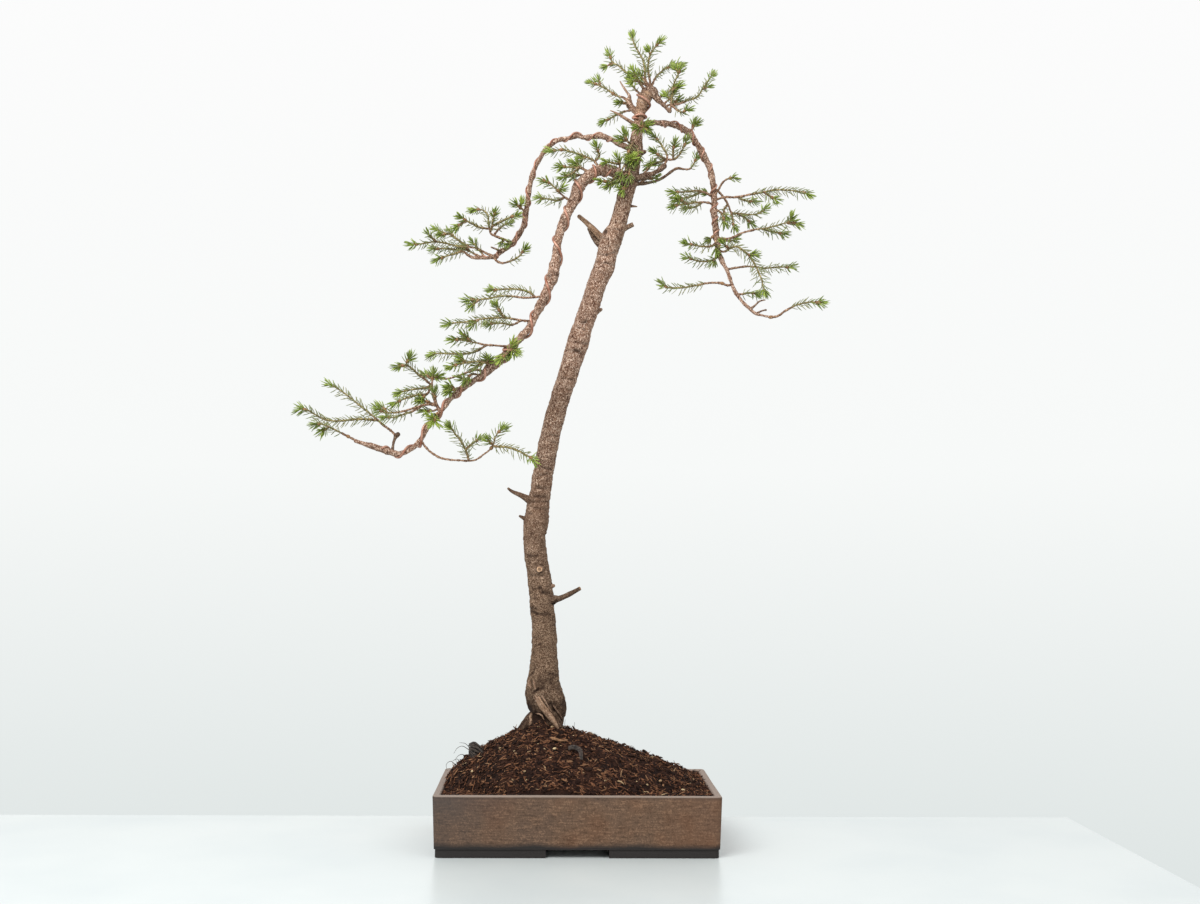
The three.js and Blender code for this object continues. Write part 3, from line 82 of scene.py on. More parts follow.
# Limbs of the one piece of wood, as points (x, z, depth, width)
LIMBS = {
    "trunk": [(-36,82,8,36), (-36,98,6,40), (-35,108,5,42), (-32,117,4,36), (-30.5,127,3,35),
        (-31.5,137,2,38.5), (-33.5,148,1,37.5), (-34,159,0,32), (-34,171,0,29), (-33.5,190,1,25.5),
        (-34.5,214,3,24.5), (-37,240,6,25), (-39.5,263,8,24), (-43.5,286,10,24), (-44.8,304,11,22.5),
        (-43.5,318,12,25.5), (-41.5,336,12,23), (-39,353,11,21.5), (-36,373,10,20.5), (-32.5,394,8,20.5),
        (-27,420,5,20.2), (-19.5,447,2,20.2), (-12.5,471,0,20.5), (-5.5,494,-2,22), (-2,505,-3,23.5),
        (1.8,518,-4,20), (9,540,-6,20.5), (16,563,-8,19.5), (23.5,582,-10,21.5), (26.2,595,-11,20.5),
        (30,609,-12,24.5), (36,622,-13,18), (40.5,638,-14,16.7), (44.5,655,-14,17), (49.5,673,-14,16.5),
        (52.5,690,-13,14.8), (54,701,-13,16.5), (55.3,712,-13,13), (56.3,723,-13,11.8), (57.3,733,-14,10.6),
        (59.3,742,-14,12.5), (61.3,751,-15,13.5), (64.3,759,-16,15.5), (67.5,764.5,-17,15),
        (70,768.5,-17,10.5)],
    "lower_left": [(48,669,-14,12), (40,675.5,-17,12.5), (32,680,-20,12), (24,682,-23,11.5),
        (16,681,-25,11.5), (8,676,-28,11.5), (1,670,-31,12), (-5,661,-34,12.5), (-8.5,650,-37,11),
        (-13,640,-40,9), (-17.5,630,-42,9), (-21.5,619,-44,9.5), (-24.5,606,-46,9), (-26,594,-48,9),
        (-27,584,-50,11.5), (-29.5,571,-52,11.5), (-33.5,559,-54,10), (-38,548,-55,10), (-43,537,-56,8.5),
        (-48,526,-57,8), (-54,515,-58,8.5), (-61,507,-58,8), (-68,499,-58,8.5), (-76,489,-58,9),
        (-86,479.5,-58,8.5), (-95,471.5,-58,7.5), (-104,464.5,-57,6.5), (-113,458.5,-56,6),
        (-122,452,-55,6.5), (-131,443.5,-54,5.5), (-138,434.5,-53,5), (-146,424.5,-52,4.8),
        (-154,415,-50,4.8), (-160,403,-48,5.5), (-165,396,-47,6.2), (-174,389,-46,5.8), (-184,386,-46,5.6),
        (-195,388.5,-46,6.4), (-206,392,-45,5.6), (-218,395.5,-44,4.8), (-229,399,-44,3.8)],
    "upper_left": [(54,704,-13,8), (46,706,-11,7), (38,709.5,-8,6.5), (29,714,-4,6), (20,717,0,6),
        (10,716.5,5,6), (1,715.5,9,5.5), (-6,717,13,6), (-14,714.5,16,5.5), (-24,712.5,20,5),
        (-33,707,24,5), (-40,700,28,4.8), (-45,690,31,4.8), (-50.5,679,34,5), (-54,664,37,5.4),
        (-56,649,39,5.5), (-57.5,636,41,5.5), (-59.5,624,42,5.2), (-65,612,43,5), (-71,604,44,5),
        (-79,597,45,4.8), (-87,591,46,4.6), (-94,588.5,46,4), (-103,588,47,3.2), (-112,588.5,48,3),
        (-119,592,49,2.8)],
    "right": [(56.5,727,-13,7.5), (64,730.5,-11,6.5), (73,732,-8,6), (83,732,-4,7), (93,730.5,0,7),
        (103,727,3,6.8), (110,722,6,6.6), (117,713,8,6.6), (123,702.5,10,6.5), (129,691,11,6.3),
        (133.5,680,12,6), (135.5,666,12,6), (136.5,651,12,6), (136.3,640,12,6.3), (138,625,11,5.6),
        (139,611,9,5.4), (141,598,7,5.2), (145,588,4,5), (150,579,1,4.8), (154,568,-2,4.3),
        (158,558,-5,4.1), (165,548,-9,4), (172.5,540.5,-12,4), (179,535,-14,3.3), (188,532.5,-17,2.7),
        (198,530.7,-20,2.6)],
    "shoulder": [(66,763,-17,10), (71.5,764.5,-18,10.5), (75,760,-19,8.5), (78.5,755.5,-20,5.8),
        (83.8,750.6,-21,5), (88,746.5,-22,4.8), (91.3,743.3,-23,4.6)],
    "leader": [(59,741.5,-13,8), (53.7,745.2,-9,7.2), (49,748.8,-6,7), (47,754.6,-4,6.8),
        (47.9,759.4,-3,4.4), (45.3,763.5,-2,3), (42.2,768.2,-1,2.6), (39.5,772.4,0,2.2),
        (37.9,775.5,1,1.8)],
    "mid_right": [(50,671,-14,8), (58,674,-20,6.6), (66,676.5,-24,6.4), (74,679.5,-28,6), (81,684,-31,5.4),
        (86.5,689,-33,5)],
    "low_right": [(47,665,-14,6), (56,667.5,-8,4.4), (65,668.5,-3,3.6), (74,670.5,1,3.2), (82,674,5,3),
        (89,679,8,2.8), (95,683.8,10,3)],
    "trunk_stub": [(-35,234,5,11), (-25,240,1,9), (-19,241,-1,5.6), (-8,246,-5,4.6), (2,251.5,-9,4)],
    "old_stub_left": [(-44,335,12,10), (-51,340.5,8,7.5), (-59,345,4,5), (-68,349,0,3.2), (-73,352.5,-2,2)],
    "small_stub_left": [(-46,315,12,8), (-54,321,10,5), (-61,324.5,8,2.2)],
    "fork_stub": [(30,603,-12,10), (20,611,-14,7.2), (11,620.5,-17,6.2), (2,628.5,-19,5.2),
        (-4.5,634,-21,4.6)],
    "torn_bark": [(24,600,-10,8), (16,606.5,-9,6.5), (11,613,-8,5), (6,621,-7,2)],
    "right_stub": [(38,618,-13,8), (46,622,-14,4.6), (53,625.5,-15,4.2)],
    "side_nub": [(10,531,-5,9), (18,535.5,-6,5), (22,537,-7,3)],
    "low_nub": [(-33,253,7,9), (-27,253.5,5,4.6), (-24,254,4,2.6)],
    "high_nub": [(55,699,-13,9), (62,701,-14,6), (66,701.5,-15,3)],
    "thorn": [(46,644.5,-14,4), (52,644.3,-14,2.4), (57,644,-14,1.4)],
    "cut_knot": [(-39.5,270,6,9), (-39.5,270,-4,8.4), (-39.5,270.5,-5.6,6)],
    "dead_spike": [(55,728,-13,6), (51,731.5,-17,4.2), (44.5,735.6,-21,3.4), (36,740.8,-25,2.4),
        (28,744.3,-29,1.2)],
    "pad_dead_twig": [(-82,594.5,45,3), (-87,597,40,2), (-93.5,599.5,37,1.4)],
    "right_dead_twig": [(174,539,-12,3), (179,543,-16,1.9), (183.5,547.3,-19,1.8), (190,549,-22,1.4)],
    "right_bud_twig": [(180,534.5,-14,2.6), (185,537,-11,1.8), (189,538.3,-9,1.8), (191,538.5,-8,3.2)],
    "end_knot": [(-190,387,-46,3.6), (-189.4,394,-44,2.6), (-187.8,401,-42,2.8), (-185.5,405,-41,5),
        (-182.5,406.5,-40,4.6)],
    "riser": [(-142,429,-52,4.4), (-146.5,437,-50,3.4), (-149,445,-48,3.2), (-150.5,452,-47,3)],
    "root_left": [(-38,128,3,12), (-45,121,0,12), (-52,113,-4,11), (-60,104,-9,9), (-70,93,-14,6)],
    "root_front": [(-41,143,-12,5), (-36,133,-16,5), (-28,123,-17,5), (-21.5,115,-16.5,4.4),
        (-18,105,-11,3.4)],
    "root_right": [(-27,126,-4,12), (-21.5,118,-5,11), (-17,109,-7,9), (-11,96,-9,5)],
    "root_back": [(-34,126,12,12), (-32,117,22,11), (-29,107,31,8), (-26,96,38,5)],
}

# Copper wires: the limb, width, hand (1 for a right-hand helix) and where each turn crosses the limb's front,
# [x, z]. Where a wire winds on behind its last crossing, EXTRA_TURN says how many sixths of a turn.
WIRES = {
    "wire_lower_left": ("lower_left", 2.6, -1, [(28,681), (12,678.5), (-4.5,661), (-16,633), (-25.5,600),
        (-34.5,557), (-51,520), (-74,492), (-95,471.5), (-120,453), (-140,432), (-159,405), (-178,387.5),
        (-200,390)]),
    "wire_upper_left": ("upper_left", 1.8, -1, [(32,712.5), (13,717), (-12,715), (-33,707), (-49,682),
        (-56,652), (-58.5,629), (-67,609), (-84,593), (-102,588)]),
    "wire_right": ("right", 1.8, 1, [(80,732), (99,728.5), (114,717), (124,700), (132,684), (136,661),
        (136.5,645), (137.3,631), (138.6,618), (140.5,601)]),
    "wire_top": ("trunk", 2.6, -1, [(57,734.5), (57.8,739), (63.5,757)]),
}
EXTRA_TURN = {"wire_top": 3}

# Sprays, each named without its "spray_": the limb, then each twig as (how far its tip lies behind its start,
# how many points stay bare, its line out to the tips of its needles). A third number in a point is its own
# depth behind the start.
SPRAYS = {
    "top_pale": ("trunk", [(14, 2, [(66,770), (64,779), (63.5,789), (61.5,798), (58.5,804), (55,810),
            (52,816), (50.5,823), (50,832)])]),
    "top": ("trunk", [(-16, 2, [(69,771), (68.5,779), (67,788), (67.5,797), (69.5,805), (74,812), (79,818),
            (86,824)]),
        (-4, 1, [(69.5,805), (66,809.5), (62,813)])]),
    "top_left": ("trunk", [(20, 2, [(63,764), (56,776), (50,781), (44.5,784.5), (40,788.5), (35,792.5),
            (30,794.5), (28,800), (25.5,806), (25,813)]),
        (8, 2, [(31,794.5), (25,791.5), (17,787)])]),
    "top_bright": ("trunk", [(-22, 2, [(64,765), (60,772), (57,777), (53,784), (50,794)]),
        (-12, 1, [(58,776), (51,775.5), (44,773)])]),
    "top_right": ("trunk", [(22, 2, [(70,768), (74,778), (78.5,784), (85,789.5), (91,792.5), (93,801)]),
        (10, 1, [(90,792), (98,794.5), (108,793.5)])]),
    "shoulder": ("shoulder", [(-14, 2, [(91,745), (91,751), (92,759), (92.5,767), (94.5,775), (98,783),
            (100,789), (102,798)]),
        (-8, 1, [(92.5,767), (98.5,771), (106,776)]),
        (8, 1, [(91.5,756), (86,761), (79,765)]),
        (6, 1, [(99,786), (94,792), (92,797)]),
        (24, 3, [(91.2,752.5), (97.5,752), (104,754.5), (111,757.5), (117,759.5), (121,764), (124.5,770),
            (128.5,776), (132.5,782), (139,791)]),
        (8, 1, [(124,769), (130,771), (137,771)]),
        (-20, 2, [(91.1,751.5), (96.5,747), (102.5,744), (108,747), (116,749.5)])]),
    "leader": ("leader", [(20, 3, [(49,753), (42,758), (36,759.5), (31,762), (25,766), (17.5,770), (9,773),
            (0,775)]),
        (10, 1, [(17.5,770), (16,776), (16,784)])]),
    "leader_low": ("leader", [(16, 2, [(50.5,741), (43,743.5), (35.5,740), (29,736.5), (22,733),
            (14,730)])]),
    "front": ("trunk", [(-26, 2, [(57,725,0), (58,727,-12), (64,729,-19), (74,733,-25)]),
        (-10, 1, [(60,727.5), (55,727.5), (49,728.5)]),
        (-6, 1, [(62,728), (67,724), (72,721)])]),
    "trunk_left": ("trunk", [(-16, 2, [(54,707,0), (47.5,711,-9), (44,716,-12), (41.5,728,-15)]),
        (-6, 1, [(46,713), (39,713.5), (31,714)])]),
    "trunk_yellow": ("trunk", [(-20, 2, [(53,690,0), (51,692,-14), (47,694,-17), (41,696,-20)]),
        (-6, 1, [(49.4,693), (53,696.5), (58,699.5)])]),
    "crotch": ("trunk", [(-22, 2, [(47,662,0), (44,663,-14), (39,663,-17), (32,661,-20)]),
        (-4, 1, [(43,663), (41,658), (39,652)])]),
    "middle": ("mid_right", [(12, 2, [(84,687), (87.5,697), (84,705), (80,711), (75,717), (67,724)]),
        (-16, 2, [(85,688), (95,694.5), (100,699), (104,706), (107,713), (109,722)]),
        (-16, 1, [(94,694), (93.5,700), (94,707), (98,718)]),
        (-12, 1, [(86.5,692), (80,697), (74,701.5), (66,703.5)]),
        (10, 1, [(86,690), (77,690.5), (70,688.5), (62,682)])]),
    "middle_low": ("low_right", [(14, 4, [(94,683), (98.5,685), (105,684), (111,684.5), (115,690),
            (118,697), (121,706)])]),
    "arch": ("right", [(12, 2, [(111,721), (114,728.5), (115,733), (117,740)]),
        (-6, 1, [(114.5,730), (119,733), (124,737)])]),
    "right_long": ("right", [(-44, 6, [(136.5,651), (143,654.5), (149,655.5), (157,655.5), (166,657),
            (175,659), (183,660.5), (192,662.5), (201,664), (211,664), (221,663), (230,661.5), (242,657)]),
        (-12, 1, [(188,661.5), (195,657), (201,654), (208,651)]),
        (16, 1, [(160,656), (168,652.5), (176,651.5), (186,651.5)])]),
    "right_hook": ("right", [(-18, 4, [(136,656), (141.5,664.5), (145,670.5), (150,674.5), (157,675.5),
            (165,671.5)])]),
    "right_crossing": ("right", [(34, 5, [(135,666), (143,659), (148,652.5), (151.5,646), (154.5,639.5),
            (163,638.5), (172,637.5), (181,638.5), (187.5,642), (195,650)]),
        (14, 1, [(161,638.5), (168,634.5), (174,629), (179,621)]),
        (-20, 1, [(154,640), (155.5,633), (156.5,626), (160,617)]),
        (-14, 1, [(150.5,648), (146.5,642), (148,636), (150,628)])]),
    "right_low": ("right", [(-38, 7, [(138.8,613), (146,612), (152.5,612.5), (158,614.5), (164.5,618),
            (173,620.5), (181,622.5), (190,623.5), (199,626), (207,628.5), (214,631), (219,643)]),
        (-8, 1, [(212,629.5), (221,629.5), (232,625)]),
        (14, 1, [(186,623), (196,620.5), (206,618.5), (217,618)])]),
    "right_thick": ("right", [(-34, 2, [(140.5,600), (147,598.5), (153,602), (159,604), (165,601.5),
            (171,596.5), (175.5,591), (179.5,584.5), (183,577), (186,569), (188,561), (191,550)]),
        (-12, 1, [(152,601.5), (147,606), (142,611)]),
        (-10, 1, [(172,595), (178,596), (184,594)])]),
    "right_level": ("right", [(30, 5, [(149.5,580), (157,581.5), (163,582.5), (171,583.5), (180,583),
            (188,582), (196,582.5), (205,583.5), (214,583.5), (225,586)])]),
    "right_across": ("right", [(30, 5, [(155.5,564), (150,563.5), (145,565.5), (136,566), (127,565),
            (121,563.5), (113,562), (105,560.5), (97,560), (89,560.5), (83.5,563.5), (77,570)])]),
    "right_small": ("right", [(18, 2, [(160,554.5), (165.5,554.5), (172,556), (179,555.5), (188,552)])]),
    "right_end": ("right", [(-14, 4, [(195,531), (203,532.5), (209,537), (216,541), (222,544), (230,546.3),
            (238,547.5), (246,547), (257,548)])]),
    "inside_high": ("right", [(-26, 3, [(135.7,655), (129,659), (121,661.5), (112,661.2), (104,660),
            (95,660), (86,660.5)]),
        (24, 1, [(123,661), (115,656.5), (106,654), (98,653.5), (90,652)])]),
    "inside_low": ("right", [(-40, 3, [(136.5,647), (129,649.5), (121,649.5), (113,648.5), (104,647),
            (95,645.5), (87,642)]),
        (-12, 1, [(108,648), (101,651.5), (91,650)]),
        (22, 1, [(124,649.5), (116,644.5), (108,643.5), (101,642)])]),
    "inside_lower": ("right", [(-22, 2, [(139.5,608), (133,604), (125,603.5), (117,604.5), (109,606.5),
            (101,609)])]),
    "inside_lowest": ("right", [(24, 2, [(142,595), (136,590), (128,588), (119,588.5), (110,591.5),
            (101,594)])]),
    "pad": ("upper_left", [(8, 5, [(-72,603), (-78,607), (-85,609.5), (-93,613), (-95,619), (-96,626),
            (-97,633), (-102,637.5), (-109,638), (-120,634)]),
        (-18, 1, [(-93.7,615.5), (-92,621), (-91.5,627), (-90,633), (-87,641)]),
        (-26, 1, [(-91,621), (-85,625), (-78,628.5), (-71,631.5), (-60,634.5)]),
        (14, 2, [(-90,612), (-86,617.5), (-81,621.5), (-75,625), (-67,627)]),
        (-20, 2, [(-94.5,618.5), (-99.5,618.8), (-106,620), (-112,623), (-118,626), (-124,629.5),
            (-132,632)]),
        (8, 1, [(-118,626), (-124,623), (-129,618.5), (-133,611)]),
        (-14, 1, [(-80,608), (-82,604), (-86,600)])]),
    "pad_far": ("upper_left", [(-6, 5, [(-90,589.5), (-97,592.5), (-104,596), (-110,598.5), (-117,599),
            (-125,599.5), (-133,601), (-141,603), (-149,603.8), (-157,603), (-165,601.5), (-173,601),
            (-183,603)]),
        (30, 1, [(-115,599), (-122,603), (-128,607), (-134,611.5), (-141,613.5), (-148,616), (-157,620)]),
        (-18, 1, [(-149,604), (-153,607.5), (-157,611.5), (-161,618)]),
        (8, 1, [(-132,610), (-136,615.5), (-137,622)]),
        (-12, 1, [(-137,612.5), (-144,611), (-152,612.5)]),
        (14, 1, [(-116,599), (-124,596), (-133,596.5), (-142,597), (-151,596.5), (-161,598)])]),
    "pad_low": ("upper_left", [(-16, 2, [(-116,590.5), (-122,594.5), (-128,592.5), (-135,590.5), (-142,588),
            (-148,585.5), (-156,583)])]),
    "pad_hanging": ("upper_left", [(-30, 4, [(-90,590), (-87,585), (-81,583), (-75,584.5), (-69,587),
            (-64,590.5), (-60,596), (-53,604)])]),
    "pad_tuft": ("upper_left", [(-18, 2, [(-57.5,636), (-62.5,640), (-66.5,643), (-75,648)]),
        (-6, 1, [(-63.5,640.8), (-62.5,646), (-65,653)])]),
    "upper": ("lower_left", [(-16, 3, [(-9,648), (-18,652.5), (-23,657), (-28,662), (-34,667), (-40,669.3),
            (-48,669)]),
        (-8, 1, [(-25,659), (-20,662), (-14,663)]),
        (26, 1, [(-18,652.5), (-25,649), (-33,650), (-42,651), (-52,651)])]),
    "crown_left": ("lower_left", [(-18, 2, [(8,676), (-1,683), (-8,683.5), (-15,684), (-22,684.5),
            (-32,684)]),
        (-14, 1, [(-4,683.3), (-10,678), (-17,674.5), (-27,671)]),
        (10, 1, [(-2,683), (-8,688), (-17,691.5)])]),
    "crown_long": ("lower_left", [(20, 2, [(17,681), (13,690), (6,694), (-1,697), (-8,699), (-15,701),
            (-22,702), (-30,701), (-42,702)]),
        (10, 1, [(4,695), (-2,692.5), (-9,693)]),
        (-16, 1, [(12.5,690.3), (17,696), (15,704), (11,713)])]),
    "crown_tuft": ("lower_left", [(-8, 2, [(36,678), (38.5,686.5), (37,692.5), (33,702)]),
        (-16, 1, [(38,687), (32,689), (25,690), (17,689)])]),
    "under": ("lower_left", [(-22, 2, [(40,676,0), (37,668.5,-4), (29,669.5,-10), (21,670,-16),
            (11,671,-22)]),
        (-10, 1, [(33,669), (27,665.5), (19,663.5)])]),
    "left_first": ("lower_left", [(-20, 4, [(-37,549), (-50,548), (-59,547.5), (-68,548.5), (-77,549),
            (-86,548), (-95,546), (-104,545), (-113,544.5), (-125,543)]),
        (-12, 1, [(-104,545), (-110,540), (-116,531)]),
        (28, 1, [(-47,548.2), (-53,553), (-61,555.5), (-70,556.3), (-79,556), (-88,555), (-101,556)])]),
    "left_second": ("lower_left", [(-36, 3, [(-49,523), (-60,524), (-69,525.3), (-78,526.5), (-87,526.3),
            (-97,525.5), (-107,523.7), (-117,521.7), (-128,520.5), (-144,519)]),
        (-10, 1, [(-78,526.5), (-82.5,532), (-86,537.5), (-91,545)]),
        (-6, 1, [(-105,524), (-110,519.5), (-117,513)]),
        (26, 2, [(-61,524), (-70,519.5), (-80,520.8), (-90,520.5), (-103,519)])]),
    "left_third": ("lower_left", [(-20, 5, [(-70,497), (-82,497.5), (-91,498), (-99,498.5), (-105,500),
            (-112,501.5), (-117,506), (-125,513)]),
        (-14, 1, [(-112,501.5), (-121,503.3), (-129,503), (-139,502)]),
        (26, 2, [(-96,498.3), (-101,495), (-107,491.5), (-114,489.5), (-122,488.7), (-131,488.7),
            (-140,489), (-149,488.3), (-159,484)])]),
    "left_fourth": ("lower_left", [(-28, 2, [(-89,476.5), (-97,480), (-105,481), (-113,480.2), (-121,479),
            (-129,476.5), (-139,472.5)]),
        (-6, 1, [(-117,479.7), (-122,483.5), (-131,485)]),
        (-10, 1, [(-95,479), (-93,484), (-97,488)])]),
    "left_thin": ("lower_left", [(34, 7, [(-97,470), (-104,472.5), (-111,471.5), (-118,468.8), (-126,465.8),
            (-134,463.5), (-141,462.8), (-149,465), (-160,470)])]),
    "left_tuft": ("lower_left", [(-26, 2, [(-77,488,0), (-75,490,-11), (-71,496,-13), (-66,508,-16)]),
        (-10, 1, [(-74,491.5), (-80,485.5), (-88,478.5)]),
        (-4, 1, [(-72,494), (-66,492), (-58,489)])]),
    "left_small": ("lower_left", [(-14, 2, [(-126,448.5), (-129.5,454), (-133.5,455.5), (-140,458)]),
        (-6, 1, [(-131,454.5), (-136,450.5), (-142,448)])]),
    "riser": ("riser", [(8, 3, [(-150,448), (-151,457), (-150.5,463), (-150,468), (-150,477)]),
        (12, 1, [(-150.5,462), (-156,466), (-165,470)]),
        (-6, 1, [(-150.3,464), (-144,465.5), (-136,468)]),
        (-26, 3, [(-150.8,455), (-155,459), (-160,463.5), (-165,467), (-171,472.5), (-177,478), (-174,484),
            (-172,492)]),
        (-8, 1, [(-175.5,476.5), (-184,475.5), (-194,473)]),
        (18, 1, [(-151,457), (-157,453.5), (-165,452.5), (-174,451), (-182,449), (-191,444)]),
        (-20, 2, [(-150.8,454), (-156.5,447), (-164,446.5), (-172,444.5), (-180,441.5), (-187,438),
            (-195,433)]),
        (-8, 1, [(-157,447), (-162,441.5), (-170,437)])]),
    "reaching": ("riser", [(-34, 5, [(-145.5,435.5), (-156,436.5), (-165,434), (-174,431), (-183,428.5),
            (-192,427.5), (-199,428), (-205,431), (-213,436)]),
        (8, 1, [(-196,427.7), (-200,432.5), (-209,438)]),
        (16, 2, [(-160,435.5), (-171,429), (-180,426), (-189,423), (-197,423), (-207,421)])]),
    "knot": ("end_knot", [(22, 4, [(-186.5,404), (-192,409.5), (-199,414.5), (-206,420.5), (-213,426),
            (-221,432.5), (-230,439.5), (-239,446.5), (-249,453), (-263,460)]),
        (-30, 1, [(-205,419.5), (-213,420.3), (-222,420.8), (-232,420), (-242,418.8), (-252,418.7),
            (-261,421), (-269,425), (-276,429), (-283,430), (-292,427)])]),
    "end": ("lower_left", [(14, 3, [(-224,397.5), (-234,402.5), (-241,406), (-249,410), (-257,413.5),
            (-265,415.5), (-277,412)]),
        (-12, 1, [(-254,412.5), (-260,409), (-268,404)])]),
    "loop": ("lower_left", [(-8, 11, [(-161,400), (-156,392.5), (-149,386.5), (-141,382.3), (-132,380.5),
            (-122,380), (-112,379.5), (-105,381), (-98,386), (-91,391.5), (-88,396.5), (-85.5,405),
            (-81,411), (-70,416.5)]),
        (-20, 1, [(-112.5,379.5), (-114.5,387), (-117.5,394), (-122,401), (-127,407.5), (-131.5,413.5),
            (-138,421)]),
        (22, 1, [(-115,391.5), (-110,396.5), (-104,401), (-96,406)]),
        (-10, 1, [(-88.5,396), (-94,401), (-99,406)]),
        (-34, 1, [(-89,395), (-82,394.3), (-74,394), (-66,391.7), (-58,388), (-50,383.5), (-41,375)])]),
    "bend": ("lower_left", [(-20, 2, [(-147,423.5,0), (-148,422,-9), (-146,418.5,-12), (-139,413,-15)]),
        (-8, 1, [(-148,421.5), (-152,424), (-157,429)]),
        (-4, 1, [(-147.5,421), (-151,417), (-154,412)])]),
}

# Short shoots close to the wood, each named without its "shoots_": the limb, how far the tip lies behind the
# start, and the line as for sprays. They are too small for solids of their own.
SHOOTS = {
    "trunk_high": ("trunk", -17, [(55,714,0), (51,709,-11), (47,700,-14), (43,688,-17)]),
    "trunk_mid": ("trunk", -15, [(54,711,0), (57,704,-11), (57,695,-13), (56,684,-15)]),
    "trunk_dark": ("trunk", -14, [(54,704,0), (49,699,-11), (50,690,-13), (52,680,-14)]),
    "crotch": ("trunk", -16, [(50,694,0), (44,688,-11), (40,679,-13), (41,667,-16)]),
    "crotch_right": ("trunk", -15, [(50,692,0), (49,684,-11), (48,675,-13), (46,664,-15)]),
    "crotch_low": ("trunk", -14, [(48,680,0), (43,677,-11), (37,671,-13), (33,662,-14)]),
    "crotch_left": ("lower_left", -14, [(40,675.5), (35,675), (30,669), (27,663)]),
    "inner": ("trunk", 12, [(62,760), (54,767), (48,777), (46,788)]),
    "inner_low": ("leader", -12, [(50,748), (43,752), (37,753), (30,751)]),
    "shoulder": ("shoulder", 8, [(76,757), (84,762), (94,769), (103,774)]),
    "low_right": ("low_right", -8, [(58,668), (66,673), (74,674), (84,677)]),
    "mid_right": ("mid_right", -10, [(60,675), (67,683), (72,689), (76,697)]),
    "crown_left": ("trunk", -9, [(67,770), (59.5,775), (52.5,780), (45.5,787)]),
    "crown_middle": ("trunk", 6, [(68,771), (62.5,777), (57.5,783), (53.5,791)]),
    "shoulder_high": ("shoulder", -8, [(84,752.5), (89.5,758), (94.5,764), (96.5,773)]),
    "shoulder_low": ("shoulder", 7, [(86,750.5), (92.5,753), (99,757), (106,763)]),
    "right_high": ("right", 5, [(136,656.5), (130.5,658), (126,660), (119.5,662.5)]),
    "right_hang": ("right", -9, [(137.5,643.5), (144,638.5), (147,630), (150,620)]),
    "right_turn": ("right", 8, [(139,612.5), (147,610), (156,610.5), (166.5,616)]),
    "right_left": ("right", -6, [(138.5,617.5), (133.5,612.5), (129.5,610), (123,609)]),
    "right_front": ("right", -8, [(139,614,0), (138,608,-6), (138.5,601,-7.5), (139.5,590,-8.5)]),
    "right_low": ("right", -7, [(140.5,596.5), (137,591), (134.5,586), (132,579)]),
    "bend_high": ("lower_left", -11, [(-63.5,504.5,0), (-65.5,496.5,-7), (-69.5,490.5,-9), (-76,483,-11)]),
    "bend_left": ("lower_left", -8, [(-89,478), (-92.5,482.5), (-97,485), (-103,488.5)]),
    "limb_upper": ("lower_left", -10, [(-87,483.5,0), (-95.5,481,-6), (-104.5,477,-8), (-113.5,469.5,-10)]),
    "limb_middle": ("lower_left", -9, [(-103.5,470.5,0), (-110.5,468,-5), (-115.5,463.5,-7),
        (-119.5,454,-9)]),
    "limb_lower": ("lower_left", -8, [(-118,455,0), (-125.5,453.5,-5), (-132.5,450.5,-7), (-141,445.5,-8)]),
    "limb_end": ("lower_left", 6, [(-114,457), (-116.5,461), (-122,464), (-129.5,466.5)]),
    "pad_thick": ("upper_left", -7, [(-99,588), (-104,595), (-110,602), (-117,610)]),
    "pad_low": ("upper_left", 5, [(-101,589), (-110,592), (-119,597), (-130,600)]),
    "pad_limb": ("upper_left", -8, [(-66,607,0), (-70,605,-4), (-75,603,-6), (-82,598,-8)]),
    "upper_high": ("lower_left", -7, [(10,677), (2,682), (-5,686), (-15,690)]),
    "upper_low": ("lower_left", 6, [(8,675), (-2,676), (-9,675), (-19,674)]),
    "riser_up": ("riser", -8, [(-144,434.5), (-147,441), (-148,448), (-148.5,458)]),
    "riser_down": ("riser", -9, [(-143.5,429), (-145.5,427), (-147,423.5), (-148,415)]),
    "riser_left": ("riser", -5, [(-145,437), (-151.5,438), (-159,440.5), (-169,442.5)]),
    "riser_low": ("riser", 5, [(-144,432.5), (-149.5,430), (-157,430), (-167,428)]),
    "riser_right": ("lower_left", 6, [(-120,448.5), (-124.5,451.5), (-131,453), (-139,450.5)]),
}

# Everything with needles, in the order it is drawn
GROWTH = {f"spray_{name}": spray for name, spray in SPRAYS.items()} | {
    f"shoots_{name}": (limb, [(reach, 1, points)]) for name, (limb, reach, points) in SHOOTS.items()}

